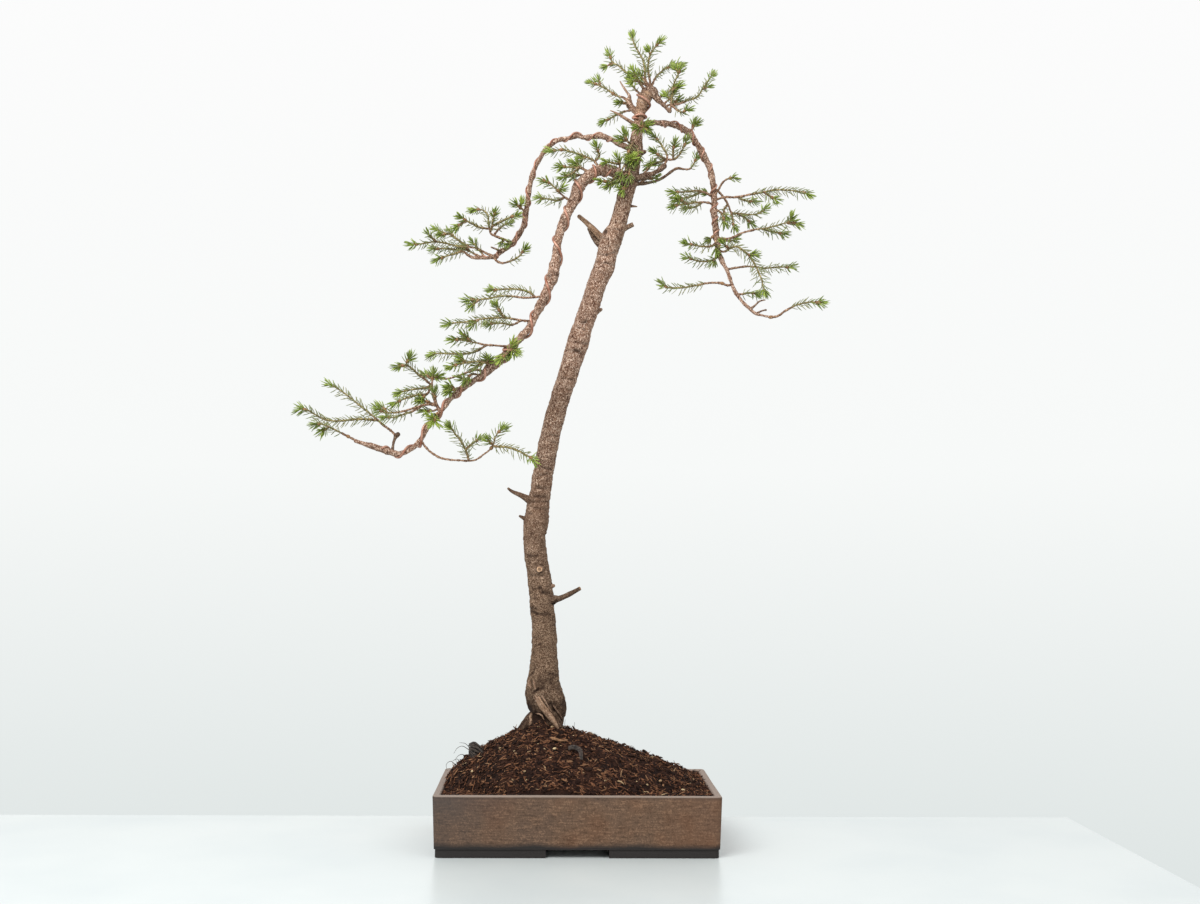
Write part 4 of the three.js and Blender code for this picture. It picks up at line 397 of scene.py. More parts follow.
# How the bark of each limb is worked: plates on the old trunk, pegs on branches, streaks on roots and dead
# wood. Then how young it looks, how bare of bark and how dark it is, from 0 to 1. The trunk's shares change
# with its height, in trunk_bark.
LOOKS = {
    "trunk": ("plates", 0, 0, 0),
    "lower_left": ("pegs", 0.85, 0, 0),
    "upper_left": ("pegs", 0.8, 0, 0),
    "right": ("pegs", 0.85, 0, 0),
    "shoulder": ("pegs", 0.5, 0, 0.1),
    "leader": ("pegs", 0.8, 0.15, 0),
    "mid_right": ("pegs", 0.3, 0, 0.3),
    "low_right": ("pegs", 0.3, 0, 0.3),
    "end_knot": ("pegs", 0.2, 0, 0.4),
    "riser": ("pegs", 0.7, 0.1, 0),
    "trunk_stub": ("streaks", 0.1, 0, 0.5),
    "old_stub_left": ("streaks", 0.3, 0.1, 0.25),
    "small_stub_left": ("streaks", 0.2, 0.1, 0.25),
    "fork_stub": ("streaks", 0.4, 0.5, 0),
    "torn_bark": ("streaks", 0.3, 0, 0.35),
    "right_stub": ("streaks", 0.2, 0.1, 0.2),
    "cut_knot": ("streaks", 0.3, 0, 0.3),
    "low_nub": ("streaks", 0.6, 0.3, 0.2),
    "dead_spike": ("streaks", 0.9, 0.6, 0),
    "root_left": ("streaks", 0, 0, 0.68),
    "root_front": ("streaks", 0.3, 0.5, 0.08),
    "root_right": ("streaks", 0, 0, 0.4),
    "root_back": ("streaks", 0, 0, 0.4),
}
PLAIN_LOOK = ("streaks", 0.4, 0, 0.1)
SAWN = ("trunk_stub", "right_stub", "cut_knot", "low_nub")  # limbs that end in a saw cut

# Marks on the trunk's front: grooves from (x, z) to (x, z), their width and their depth, which swells below 0
MARKS = [
    (-26.4, 136.2, -21.3, 129.3, 1.7, 2.2), (-21.3, 129.3, -15.1, 121.3, 1.9, 2.4),
    (-41.3, 121.2, -34.2, 119.2, 4, 2.6), (-44.1, 147.1, -39.6, 149.6, 1.2, 1.6),
    (-39.6, 149.6, -33.6, 150.7, 1.2, 1.4), (-48.8, 162.1, -45.3, 166.1, 1, 1.3),
    (-45.3, 166.1, -43.4, 171.1, 1, 1.2), (-38.7, 159.1, -33.6, 153.2, 2.6, 0.3),
    (-17.5, 141, -14, 127, 6.5, -2.6), (-50, 158, -51, 147, 5, -1.2), (-50, 131, -50, 124, 5, 1.6),
    (-33.8, 167.2, -20.6, 164.3, 1.1, 1.1), (-47.6, 228.3, -42.5, 225.3, 1.2, 1.5),
    (-42.5, 225.3, -29.4, 224.9, 1.2, 1.5), (-47.6, 231.3, -41.6, 230.3, 0.9, 1),
    (-38.8, 251.5, -35.7, 247.5, 1.8, 1.2), (-35.7, 247.5, -29.6, 246.5, 1.7, 1.2),
    (-49.1, 264.5, -35.9, 264, 1.1, 1), (-51.3, 283.7, -41.2, 283.8, 0.9, 1.1),
    (-44.3, 202.2, -30.2, 204.3, 0.9, 0.8), (-43.1, 192.2, -38.1, 194.2, 0.9, 0.8),
    (-46, 344.5, -33.8, 343.6, 1.3, 1.2), (-44, 353.7, -32.8, 351.8, 1.2, 1),
    (-40.1, 365.9, -31, 367, 1.1, 1.1), (-49.9, 338.4, -29.7, 339, 1.1, 1.1),
    (-45.8, 332.3, -32.6, 331.5, 1, 0.9), (-39.2, 374.1, -28, 371.2, 1.1, 1),
    (17.8, 594, 26.1, 593, 1.1, 0.9), (26.1, 593, 34.3, 596, 1.1, 0.8), (24.1, 585.8, 34.4, 581.8, 1, 1),
    (-5.1, 519.1, 4.2, 515.1, 0.9, 0.9), (19, 620.5, 24.5, 617, 1.8, 1.8), (20, 612, 27, 609.5, 1, 1),
    (0.5, 522.6, 5, 523.4, 1.5, 1.5), (-6.5, 494.2, -1, 492.6, 2, 1.5), (-12, 498, -7, 497, 2.5, -0.7),
    (-6.9, 502.5, 7.4, 500.7, 1, 1), (-19.8, 465.3, -6.5, 463.5, 0.9, 0.8), (-31, 407, -19, 405, 0.9, 0.8),
]

# Strips of root bark that lie on the foot of the trunk: how bare, how dark, and a line of (x, z, width)
STRIPS = [
    (0.55, 0.0, [(-39.5, 143.2, 1.6), (-36.5, 138.2, 2.0), (-32.4, 132.2, 2.4), (-28.8, 127.7, 3.2),
        (-25.7, 123.3, 3.8), (-23.2, 119.3, 3.4), (-20.2, 115, 2.2)]),
    (0.3, 0.15, [(-42.6, 144.1, 1.6), (-40, 140.2, 2.0), (-37.4, 135.2, 1.8), (-35.4, 131.2, 1.2)]),
    (0.25, 0.2, [(-36, 144.2, 1.4), (-32.4, 138.2, 1.8), (-29.4, 133.2, 1.6), (-25.6, 127.4, 1.2)]),
    (0.15, 0.4, [(-44.1, 142.6, 1.3), (-41.5, 138.2, 1.6), (-38.9, 133.2, 1.2)]),
    (0.35, 0.1, [(-48.3, 160.1, 2.6), (-48.2, 155.1, 3.6), (-46.2, 150.1, 2.4)]),
    (0.25, 0.2, [(-44.8, 159.1, 1.6), (-43.2, 154.1, 2.0), (-42.1, 149.1, 1.4)]),
    (0.15, 0.3, [(-24.3, 134.3, 1.2), (-20.8, 129.3, 1.6), (-17.2, 124.8, 1.8), (-14.6, 119.3, 1.4)]),
    (0.3, 0.3, [(-45.4, 126.2, 2.6), (-46.8, 122.2, 3.4), (-46.3, 118.2, 3.2), (-48.2, 113.2, 2.4)]),
    (0.2, 0.3, [(-41.8, 125.7, 1.2), (-38.3, 125.2, 1.6), (-35.3, 123.2, 1.6), (-33.2, 119.2, 1.2)]),
    (0.1, 0.3, [(-15.8, 146, 1.4), (-12.8, 139, 1.8), (-12.2, 132, 1.8), (-13.5, 125, 1.4)]),
    (0.1, 0.35, [(-21, 147, 1.4), (-17.5, 141, 1.6), (-16, 134.5, 1.6), (-17, 128.5, 1.2)]),
]

# Resting buds, as [x, z] in the front view
BUDS = [
    (99, 787), (31, 762), (66, 724), (214, 630), (-88, 638), (-70, 627), (-122, 510), (-88, 555), (-184, 476),
    (-235, 403), (-90, 393), (-45, 668.5), (-22, 702), (145, 565), (245, 547), (190.5, 538.5),
]

# Hair roots that stand out of the soil, as (x, y, z)
HAIRS = [
    [(-107, -14, 91), (-114, -15, 95), (-119, -16, 93), (-122, -17, 88)],
    [(-106, -13, 92), (-111, -12, 97), (-117, -12, 98)],
    [(-109, -15, 85), (-115, -16, 87), (-120, -18, 83), (-119, -19, 79)],
    [(-119, -19, 76), (-125, -21, 81), (-129, -22, 78), (-128, -23, 72)],
    [(-115, -18, 79), (-119, -19, 83), (-123, -20, 81)],
    [(-3, -14, 104), (-3.4, -14, 111), (-2.6, -14, 119)],
    [(-10, -10, 108), (-12.4, -10, 116), (-12, -10, 121)],
    [(6, -8, 100), (9, -8, 106), (13, -8, 107)],
]

# Pebbles on the soil, as (x, y, z, tone)
PEBBLES = [
    (102, -53, 58.5, 1.0), (49.5, -68.5, 60.5, 0.2), (-22.5, -44, 97, 1.0), (-38.5, -18, 115.3, 0.95),
    (-25, -18, 114.8, 0.95), (-76, -34, 96, 0.95), (-51, -65.5, 78.4, 0.95), (-102, -46.5, 75.3, 1.0),
    (80.5, -52, 67.6, 0.93), (26.5, -67, 70, 0.95),
]

# How long the needles on a limb, or in a spray, are beside the usual
SIZES = {
    "trunk": 0.85, "shoulder": 0.82, "leader": 0.82, "mid_right": 0.88, "low_right": 0.8, "upper_left": 0.85,
    "spray_right_hook": 0.6, "spray_right_thick": 1.2, "spray_front": 1.2, "spray_trunk_left": 1.15,
}

# How fresh the needles of a spray look beside the usual: yellow green above 0, blue grey below 0
TINTS = {
    "spray_trunk_yellow": 0.45, "spray_top_bright": 0.35, "spray_bend": 0.35, "spray_left_tuft": 0.2,
    "spray_crown_tuft": 0.2, "spray_top": 0.1, "spray_top_pale": 0.1, "spray_middle": -0.15,
    "spray_trunk_left": -0.05, "spray_inside_low": -0.05,
    **{f"shoots_{name}": -0.3 if "crotch" in name else -0.15 for name in SHOOTS},
}


# Colour and materials


def linear(code):
    """The linear RGBA of an sRGB hex code."""
    channels = [int(code[i : i + 2], 16) / 255 for i in (1, 3, 5)]
    return (*[c / 12.92 if c <= 0.04045 else ((c + 0.055) / 1.055) ** 2.4 for c in channels], 1.0)


def fill(tree, node, inputs):
    """Fills a node's inputs. Another node's output is linked, and a number, a vector or a colour is set. A
    colour may be an sRGB hex code."""
    for name, given in inputs.items():
        if isinstance(given, bpy.types.NodeSocket):
            tree.links.new(given, node.inputs[name])
        else:
            node.inputs[name].default_value = linear(given) if isinstance(given, str) else given


def add(tree, kind, output, inputs=None, stops=(), **settings):
    """Adds one shader node with its settings, its inputs and, for a ramp, its stops, and returns one
    output."""
    made = tree.nodes.new("ShaderNode" + kind)
    for name, value in settings.items():
        setattr(made, name, value)
    fill(tree, made, inputs or {})
    if stops:
        ramp = made.color_ramp.elements
        while len(ramp) < len(stops):
            ramp.new(0.5)
        for element, (position, shade) in zip(ramp, stops):
            element.position = position
            element.color = linear(shade) if isinstance(shade, str) else shade
    return made.outputs[output]


# A Mix node of colours takes its share at 0 and its two colours at 6 and 7, and gives the result at 2. One of
# numbers takes them at 0, 2 and 3, and gives it at 0.


def blank(name):
    """A new material's node tree and its shader."""
    material = bpy.data.materials.new(name)
    material.use_nodes = True
    return material, material.node_tree, material.node_tree.nodes["Principled BSDF"]


def flecked(name, scale, detail, stops, roughness, metallic=0.0):
    """A material whose colour runs through its stops with a noise that has `scale` cells to the metre."""
    material, tree, shader = blank(name)
    place = add(tree, "TexCoord", "Object")
    flecks = add(tree, "TexNoise", "Fac", {"Vector": place, "Scale": scale, "Detail": detail})
    shown = add(tree, "ValToRGB", "Color", {"Fac": flecks}, stops)
    fill(tree, shader, {"Base Color": shown, "Roughness": roughness, "Metallic": metallic})
    return material


def bark_material(look):
    """Spruce bark, grown and weathered: fine wavering scales, grey brown on the old trunk and pinker on
    branches. Dull all over, so it takes soft light with no gloss. Its value "seam" is dark, and at the trunk's
    foot it also holds painted shade; "young" is the branch skin, and "cut" is bare pale wood."""
    material, tree, shader = blank("weathered_spruce_bark")
    place = add(tree, "TexCoord", "Object")
    seam, young, cut = (add(tree, "Attribute", "Fac", attribute_name=key) for key in ("seam", "young", "cut"))
    # scales of 2 mm waver, level on the low trunk and upright above it, with 0.9 mm flecks and 18 mm clouds
    level, upright = (
        add(tree, "TexNoise", "Fac", {
            "Vector": add(tree, "VectorMath", 0, {0: place, 1: (1.0, 1.0, tall)}, operation="MULTIPLY"),
            "Scale": 500.0, "Detail": 2.0, "Roughness": 0.55, "Distortion": 2.4})
        for tall in (1.5, 0.6))
    height = add(tree, "SeparateXYZ", "Z", {"Vector": place})
    higher = add(tree, "MapRange", "Result", {"Value": height, "From Min": 0.28, "From Max": 0.38})
    scales = add(tree, "Mix", 0, {0: higher, 2: level, 3: upright}, data_type="FLOAT")
    flecks = add(tree, "TexNoise", "Fac", {"Vector": place, "Scale": 1100.0, "Detail": 2.0})
    cloudy = add(tree, "TexNoise", "Fac", {"Vector": place, "Scale": 55.0, "Detail": 3.0})
    old = add(tree, "ValToRGB", "Color", {"Fac": scales}, [
        (0.39, look.bark_dark), (0.465, look.bark_middle), (0.535, look.bark_middle), (0.61, look.bark_pale)])
    skin = add(tree, "ValToRGB", "Color", {"Fac": scales}, [
        (0.39, look.skin_dark), (0.47, look.skin_middle), (0.53, look.skin_middle), (0.61, look.skin_pale)])
    wood = add(tree, "ValToRGB", "Color", {"Fac": flecks}, [(0.3, "#8a664c"), (0.7, "#cfac8b")])
    patches = add(tree, "MapRange", "Result", {
        "Value": cloudy, "From Min": 0.3, "From Max": 0.7, "To Min": 0.3, "To Max": 0.68})
    shown = old
    # the seams' dark colour, which at the left of the trunk's foot is also painted shade
    layers = [
        (young, skin, "MIX"), (cut, wood, "MIX"), (0.75, patches, "SOFT_LIGHT"), (seam, "#281a13", "MIX")]
    for share, layer, blend in layers:
        shown = add(tree, "Mix", 2, {0: share, 6: shown, 7: layer}, data_type="RGBA", blend_type=blend)
    bump = add(tree, "Bump", "Normal", {"Height": scales, "Strength": 1.0, "Distance": 0.9 * MM})
    fill(tree, shader, {"Base Color": shown, "Roughness": 0.9, "Specular IOR Level": 0.15, "Normal": bump})
    return material


def twig_material(look):
    """Bark of a young spruce shoot, grown: thin, ridged and tan, olive towards the tip, with darker
    furrows."""
    material, tree, shader = blank("spruce_shoot_bark")
    place = add(tree, "TexCoord", "Object")
    fresh = add(tree, "Attribute", "Fac", attribute_name="fresh")
    flecks = add(tree, "TexNoise", "Fac", {"Vector": place, "Scale": 620.0, "Detail": 2.0, "Distortion": 1.0})
    tan, olive = (
        add(tree, "ValToRGB", "Color", {"Fac": flecks}, list(zip((0.36, 0.5, 0.64), colours)))
        for colours in (("#4d3629", look.twig, "#b3937a"), ("#4b4327", "#7a6f44", "#a89b6c")))
    shown = add(tree, "Mix", 2, {0: fresh, 6: tan, 7: olive}, data_type="RGBA")
    bump = add(tree, "Bump", "Normal", {"Height": flecks, "Strength": 1.0, "Distance": 0.3 * MM})
    fill(tree, shader, {"Base Color": shown, "Roughness": 0.8, "Specular IOR Level": 0.25, "Normal": bump})
    return material


def bud_material():
    """Bud scales, grown: dry, papery and orange brown, with darker flecks."""
    return flecked("papery_bud_scales", 900.0, 2.0, [(0.35, "#66452b"), (0.62, "#96714a")], 0.7)


def needle_material(look):
    """Spruce needles, grown: a thin waxy skin that gives a soft shine. Its value "fresh" runs from the dull
    grey green of old needles to the yellow green of this year's."""
    material, tree, shader = blank("waxy_spruce_needles")
    fresh = add(tree, "Attribute", "Fac", attribute_name="fresh")
    shown = add(tree, "ValToRGB", "Color", {"Fac": fresh}, [
        (0.0, look.needle_old), (0.35, look.needle_middle),
        (0.7, look.needle_fresh), (1.0, look.needle_bright)])
    fill(tree, shader, {"Base Color": shown, "Roughness": 0.45, "IOR": 1.45})
    return material


def stoneware_material(look):
    """Unglazed brown stoneware, slab built and fired in reduction: matt, with iron specks under a millimetre
    across, faint reddish flushes, a dull blue grey bloom at the left end that is partly painted shade, painted
    shade on the foot's band and in a line under the rim, and a painted highlight along the rim's edge."""
    material, tree, shader = blank("unglazed_brown_stoneware")
    place = add(tree, "TexCoord", "Object")
    height, aside = (add(tree, "SeparateXYZ", axis, {"Vector": place}) for axis in ("Z", "X"))
    specks = add(tree, "TexNoise", "Fac", {"Vector": place, "Scale": 420.0, "Detail": 3.0, "Distortion": 1.2})
    # marks of the smoothing blade run level, 14 mm long and 1.6 mm apart
    drawn = add(tree, "VectorMath", 0, {0: place, 1: (0.12, 0.12, 1.0)}, operation="MULTIPLY")
    blade = add(tree, "TexNoise", "Fac", {"Vector": drawn, "Scale": 620.0, "Detail": 2.0})
    grit = add(tree, "Mix", 0, {0: 0.4, 2: specks, 3: blade}, data_type="FLOAT")
    flush = add(tree, "TexNoise", "Fac", {"Vector": place, "Scale": 24.0, "Detail": 3.0})
    flushed = add(tree, "ValToRGB", "Color", {"Fac": flush}, [
        (0.38, "#4e4037"), (0.5, look.clay), (0.64, "#61422e")])
    # the foot's band of painted shade has a soft edge that wanders 3 mm up and down
    wander = add(tree, "Math", 0, {0: flush, 1: 0.006, 2: -0.003}, operation="MULTIPLY_ADD")
    level = add(tree, "Math", 0, {0: height, 1: wander}, operation="ADD")
    left, right = MIDDLE[0] - POT["length"] / 2, MIDDLE[0] + POT["length"] / 2
    # each share goes from one value to another between two places on the pot
    warm, endways, upward, foot, line, rim = (
        add(tree, "MapRange", "Result", {
            "Value": value, "From Min": start * MM, "From Max": end * MM, "To Min": first, "To Max": last})
        for value, start, end, first, last in (
            (aside, right - 60, right, 0.0, 0.25),  # redder clay at the right end
            (aside, left, left + 100, 0.8, 0.0),  # the blue grey bloom, partly painted shade, fades from the left end
            (height, 28, 52, 0.35, 1.0),  # and from the rim down
            (level, 9.5, 14.5, 1.0, 0.0),  # the foot's band of painted shade
            (height, 53.5, 56.5, 0.0, 0.45),  # a line of painted shade under the rim's edge
            (height, 56.8, 57.6, 0.0, 0.8),  # a painted highlight along the rim's edge
        ))
    bloom_and_painted_shade = add(tree, "Math", 0, {0: endways, 1: upward}, operation="MULTIPLY")
    shown = add(tree, "ValToRGB", "Color", {"Fac": grit}, [
        (0.39, "#3f2f23"), (0.47, look.clay), (0.53, look.clay), (0.61, "#836650")])
    # laid over the clay: flushes, redder clay at the right, the bloom that is partly painted shade at the left,
    # painted shade on the foot and under the rim, and a painted highlight on the rim's edge
    layers = [
        (0.4, flushed), (warm, "#6f4a35"), (bloom_and_painted_shade, "#423d3b"),
        (foot, look.foot), (line, "#382d26"), (rim, "#8c7e74")]
    for share, layer in layers:
        shown = add(tree, "Mix", 2, {0: share, 6: shown, 7: layer}, data_type="RGBA")
    bump = add(tree, "Bump", "Normal", {"Height": grit, "Strength": 1.0, "Distance": 0.6 * MM})
    fill(tree, shader, {"Base Color": shown, "Roughness": 0.7, "Specular IOR Level": 0.2, "Normal": bump})
    return material


def soil_material(look):
    """Potting mix of composted bark and peat, screened and damp, red brown in its fibres, with painted shade
    that makes it nearly black in its hollows. Its value "tone" runs from dark crumbs to tan slivers and pale
    grit, and on the mound it also carries painted shade."""
    material, tree, shader = blank("composted_bark_mix")
    place = add(tree, "TexCoord", "Object")
    tone = add(tree, "Attribute", "Fac", attribute_name="tone")
    crumb = add(tree, "TexNoise", "Fac", {"Vector": place, "Scale": 600.0, "Detail": 4.0, "Roughness": 0.65})
    kind = add(tree, "ValToRGB", "Color", {"Fac": tone}, [
        (0.0, look.soil_dark), (0.42, look.soil_middle), (0.75, look.soil_red),
        (0.9, "#8f6b4e"), (1.0, "#cbb48c")])
    # painted shade: where the bump's noise is low, the colour goes towards near black
    share = add(tree, "MapRange", "Result", {
        "Value": crumb, "From Min": 0.35, "From Max": 0.55, "To Min": 0.25})
    shown = add(tree, "Mix", 2, {0: share, 6: "#1a0e09", 7: kind}, data_type="RGBA")
    bump = add(tree, "Bump", "Normal", {"Height": crumb, "Strength": 1.0, "Distance": 0.8 * MM})
    fill(tree, shader, {"Base Color": shown, "Roughness": 0.95, "Specular IOR Level": 0.2, "Normal": bump})
    return material


def root_material():
    """Fine dead roots, dried on the mix: dark, wiry, slightly grey."""
    return flecked("dried_black_roots", 500.0, 3.0, [(0.35, "#191412"), (0.7, "#4e433b")], 0.85)


def copper_material(look):
    """Annealed copper wire, drawn: soft pink metal gone slightly dull, with faint darker handling marks."""
    return flecked("annealed_copper_wire", 160.0, 3.0, [(0.35, "#86543f"), (0.6, look.copper)], 0.45, 0.45)


def mesh_material():
    """Drain mesh of moulded polythene: dark grey, slightly glossy, with faint scuffs."""
    return flecked("moulded_polythene_mesh", 300.0, 3.0, [(0.4, "#202322"), (0.7, "#3a3e3c")], 0.5)


def stone_material(look):
    """Pale stone, sawn and polished, so it mirrors a little of the light, with soft clouds 170 mm across."""
    return flecked("polished_pale_stone", 6.0, 5.0, [(0.35, "#bfc6c6"), (0.6, look.table)], 0.3)


# Noise


def hashed(cubes, seed):
    """A draw between 0 and 1 for each whole-numbered cube, from its three numbers and the seed."""
    mixed = cubes[..., 0] * 73856093 ^ cubes[..., 1] * 19349663 ^ cubes[..., 2] * 83492791 ^ seed * 2654435761
    mixed = (mixed ^ mixed >> 15) * 2246822519 & 0xFFFFFFFF
    mixed = (mixed ^ mixed >> 13) * 3266489917 & 0xFFFFFFFF
    return (mixed ^ mixed >> 16 & 0xFFFFFF) % 65536 / 65535


def smooth(low, high, value):
    """0 below low, 1 above high and 3t^2 - 2t^3 between them."""
    t = np.clip((value - low) / (high - low), 0, 1)
    return t * t * (3 - 2 * t)


def clouds(points, seed, octaves=3):
    """Fractal noise from about -1 to 1: draws at whole-numbered places, blended smoothly between them, and
    added up with each octave twice as fine and half as strong."""
    total = np.zeros(points.shape[:-1])
    for octave in range(octaves):
        scaled = points * 2**octave + 7.3 * octave
        cube = np.floor(scaled).astype(np.int64)
        share = smooth(0, 1, scaled - cube)
        value = 0
        for corner in np.ndindex(2, 2, 2):
            weight = np.prod(np.where(corner, share, 1 - share), axis=-1)
            value = value + weight * hashed(cube + corner, seed + octave)
        total += (2 * value - 1) / 2**octave
    return total


def cells(points, seed):
    """Distances to the nearest and the second nearest of points scattered one to a cube, and the nearest
    one's own draw: the lie of scales and plates."""
    cube = np.floor(points).astype(np.int64)
    first = np.full(points.shape[:-1], 9.0)
    second, tone = first.copy(), np.zeros_like(first)
    for corner in np.ndindex(3, 3, 3):
        near = cube + corner - 1
        spot = near + np.stack([hashed(near, seed + axis) for axis in range(3)], -1)
        far = np.linalg.norm(points - spot, axis=-1)
        nearest = far < first
        second = np.where(nearest, first, np.minimum(second, far))
        tone = np.where(nearest, hashed(near, seed + 3), tone)
        first = np.where(nearest, far, first)
    return first, second, tone


# Lines and skins


def unit(vectors):
    """Each vector over its own length."""
    return vectors / np.linalg.norm(vectors, axis=-1, keepdims=True)


def placed(read):
    """The place of points read in the front view as (x, depth, z): each is moved along its line of sight from
    the eye until it stands its depth behind the pot's middle plane."""
    scale = (read[..., 1:2] - EYE[1]) / -EYE[1]
    return np.where((True, False, True), EYE + (read - EYE) * scale, read)


class Line:
    """A smooth line through points (x, z, depth, width): a centripetal Catmull-Rom curve, so the parameter
    of each stretch is the square root of its chord and the slopes come from the points before and after."""

    def __init__(self, points, steps=24):
        table = np.array(points, float)
        read = table[:, [0, 2, 1]]
        ends = np.vstack([2 * read[0] - read[1], read, 2 * read[-1] - read[-2]])
        gap = np.sqrt(np.linalg.norm(np.diff(ends, axis=0), axis=1))[:, None]
        before, start, end, after = ends[:-3], ends[1:-2], ends[2:-1], ends[3:]
        d0, d1, d2 = gap[:-2], gap[1:-1], gap[2:]
        slope0 = ((start - before) / d0 - (end - before) / (d0 + d1) + (end - start) / d1) * d1
        slope1 = ((end - start) / d1 - (after - start) / (d1 + d2) + (after - end) / d2) * d1
        t = (np.arange(steps) / steps)[:, None, None]
        curve = (
            (2 * t**3 - 3 * t**2 + 1) * start
            + (t**3 - 2 * t**2 + t) * slope0
            + (3 * t**2 - 2 * t**3) * end
            + (t**3 - t**2) * slope1
        )
        self.read = np.vstack([curve.transpose(1, 0, 2).reshape(-1, 3), read[-1]])
        widths = table[:, 3]
        share = (np.arange(steps) / steps)[None]
        between = widths[:-1, None] * (1 - share) + widths[1:, None] * share
        self.width = np.append(between.ravel(), widths[-1])
        self.along = np.append(0, np.cumsum(np.linalg.norm(np.diff(self.read, axis=0), axis=1)))
        self.length = self.along[-1]

    def read_at(self, along):
        """The front view's (x, depth, z) at distances along the line."""
        return np.stack([np.interp(along, self.along, axis) for axis in self.read.T], -1)

    def at(self, along):
        """Places, directions, frames that face the viewer, and radii at distances along the line."""
        along = np.clip(along, 0, self.length)
        read = self.read_at(along)
        ahead = placed(self.read_at(np.minimum(along + 0.5, self.length)))
        direction = unit(ahead - placed(self.read_at(np.maximum(along - 0.5, 0))))
        front = np.where(np.abs(direction[..., 1:2]) > 0.9, (0.0, 0.0, 1.0), (0.0, -1.0, 0.0))
        front = unit(front - direction * np.sum(front * direction, -1, keepdims=True))
        side = np.cross(direction, front)
        radius = np.interp(along, self.along, self.width) / 2 * (read[..., 1] - EYE[1]) / -EYE[1]
        return placed(read), direction, front, side, radius

    def nearest(self, x, z, first=0.0, last=None):
        """How far along, between two distances, the line passes nearest to x, z in the front view, and how
        near."""
        along = np.linspace(first, self.length if last is None else last, 600)
        read = self.read_at(along)
        far = np.hypot(read[:, 0] - x, read[:, 2] - z)
        return along[far.argmin()], far.min()


def skin(rings, sides):
    """Faces of a tube: a four-sided face for each step along and round it, and triangles to a pole at each
    end. The poles come after the rings' points."""
    ring, side = (grid.ravel() for grid in np.meshgrid(np.arange(rings - 1), np.arange(sides), indexing="ij"))
    here, beside = ring * sides + side, ring * sides + (side + 1) % sides
    walls = np.stack([here, beside, beside + sides, here + sides], -1)
    i = np.arange(sides)
    j, last, pole = (i + 1) % sides, (rings - 1) * sides, np.full(sides, rings * sides)
    caps = np.vstack([np.stack([pole, j, i], -1), np.stack([pole + 1, last + i, last + j], -1)])
    return walls, caps


class Heap:
    """Closed skins gathered into one mesh, with the material of each face and named values at each point."""

    def __init__(self, *names):
        self.points, self.faces, self.shades, self.count = [], [], [], 0
        self.values = {name: [] for name in names}

    def take(self, points, blocks, shade=0, **values):
        """Adds points and blocks of faces that count from the first of them."""
        self.points.append(points)
        for block in blocks:
            self.faces += (block + self.count).tolist()
            self.shades += [shade] * len(block)
        for name, kept in self.values.items():
            kept.append(np.broadcast_to(values.get(name, 0.0), len(points)))
        self.count += len(points)

    def sweep(self, stations, reach, shade=0, **values):
        """A skin carried along a line: point (i, k) is place_i + reach_ik (cos a_k front_i + sin a_k side_i)
        with a_k = 2 pi k / sides. Each end closes on a pole at its place."""
        place, _, front, side, _ = stations
        rings, sides = reach.shape
        angle = 2 * math.pi * np.arange(sides)[:, None] / sides
        around = np.cos(angle) * front[:, None] + np.sin(angle) * side[:, None]
        points = place[:, None] + reach[..., None] * around
        poles = place[[0, -1]]
        spread = {}
        for name, value in values.items():
            full = np.broadcast_to(value, reach.shape)
            spread[name] = np.append(full.ravel(), full[[0, -1]].mean(axis=1))
        self.take(np.vstack([points.reshape(-1, 3), poles]), skin(rings, sides), shade, **spread)

    def spindles(self, spine, reach, across, upright, sides=4, shade=0, **values):
        """Many small closed spindles at once: point (n, r, k) is spine_nr + reach_nr (cos a_k across_n +
        sin a_k upright_n), and the spine's first and last points are the poles."""
        count, rings = reach.shape
        angle = 2 * math.pi * np.arange(sides)[:, None] / sides
        around = np.cos(angle) * across[:, None, None] + np.sin(angle) * upright[:, None, None]
        body = spine[:, 1:-1, None] + reach[..., None, None] * around
        points = np.concatenate([body.reshape(count, -1, 3), spine[:, [0, -1]]], axis=1)
        each = rings * sides + 2
        first = (np.arange(count) * each)[:, None, None]
        blocks = [(block + first).reshape(-1, block.shape[1]) for block in skin(rings, sides)]
        spread = {name: np.repeat(np.broadcast_to(value, count), each) for name, value in values.items()}
        self.take(points.reshape(-1, 3), blocks, shade, **spread)

    def piece(self, name, slot, materials, nodes=(), smooth_faces=True):
        """The mesh as a Blender object that rides on the tree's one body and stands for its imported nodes."""
        if not self.count:
            raise RuntimeError(f"{name} has no surface")
        mesh = bpy.data.meshes.new(name)
        mesh.from_pydata(((np.concatenate(self.points) + MIDDLE) * MM).tolist(), [], self.faces)
        for material in materials:
            mesh.materials.append(material)
        mesh.polygons.foreach_set("material_index", self.shades)
        mesh.polygons.foreach_set("use_smooth", np.full(len(self.faces), smooth_faces))
        for key, parts in self.values.items():
            kept = mesh.attributes.new(key, "FLOAT", "POINT")
            kept.data.foreach_set("value", np.concatenate(parts).astype(np.float32))
        mesh.update()
        return dress(bpy.data.objects.new(name, mesh), nodes)


def dress(piece, nodes=()):
    """Puts a piece in the scene, on the tree's body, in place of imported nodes."""
    if piece.name not in bpy.context.scene.collection.objects:
        bpy.context.scene.collection.objects.link(piece)
    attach(piece, "root")
    if nodes:
        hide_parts(*nodes)
    return piece


# Wood


def rings_round(along, apart, width):
    """Rings round a limb: e^(-(d / width)^2) at distance d from the middle of the nearest."""
    wave = along / apart
    return np.exp(-(((wave - np.round(wave)) * apart / width) ** 2))


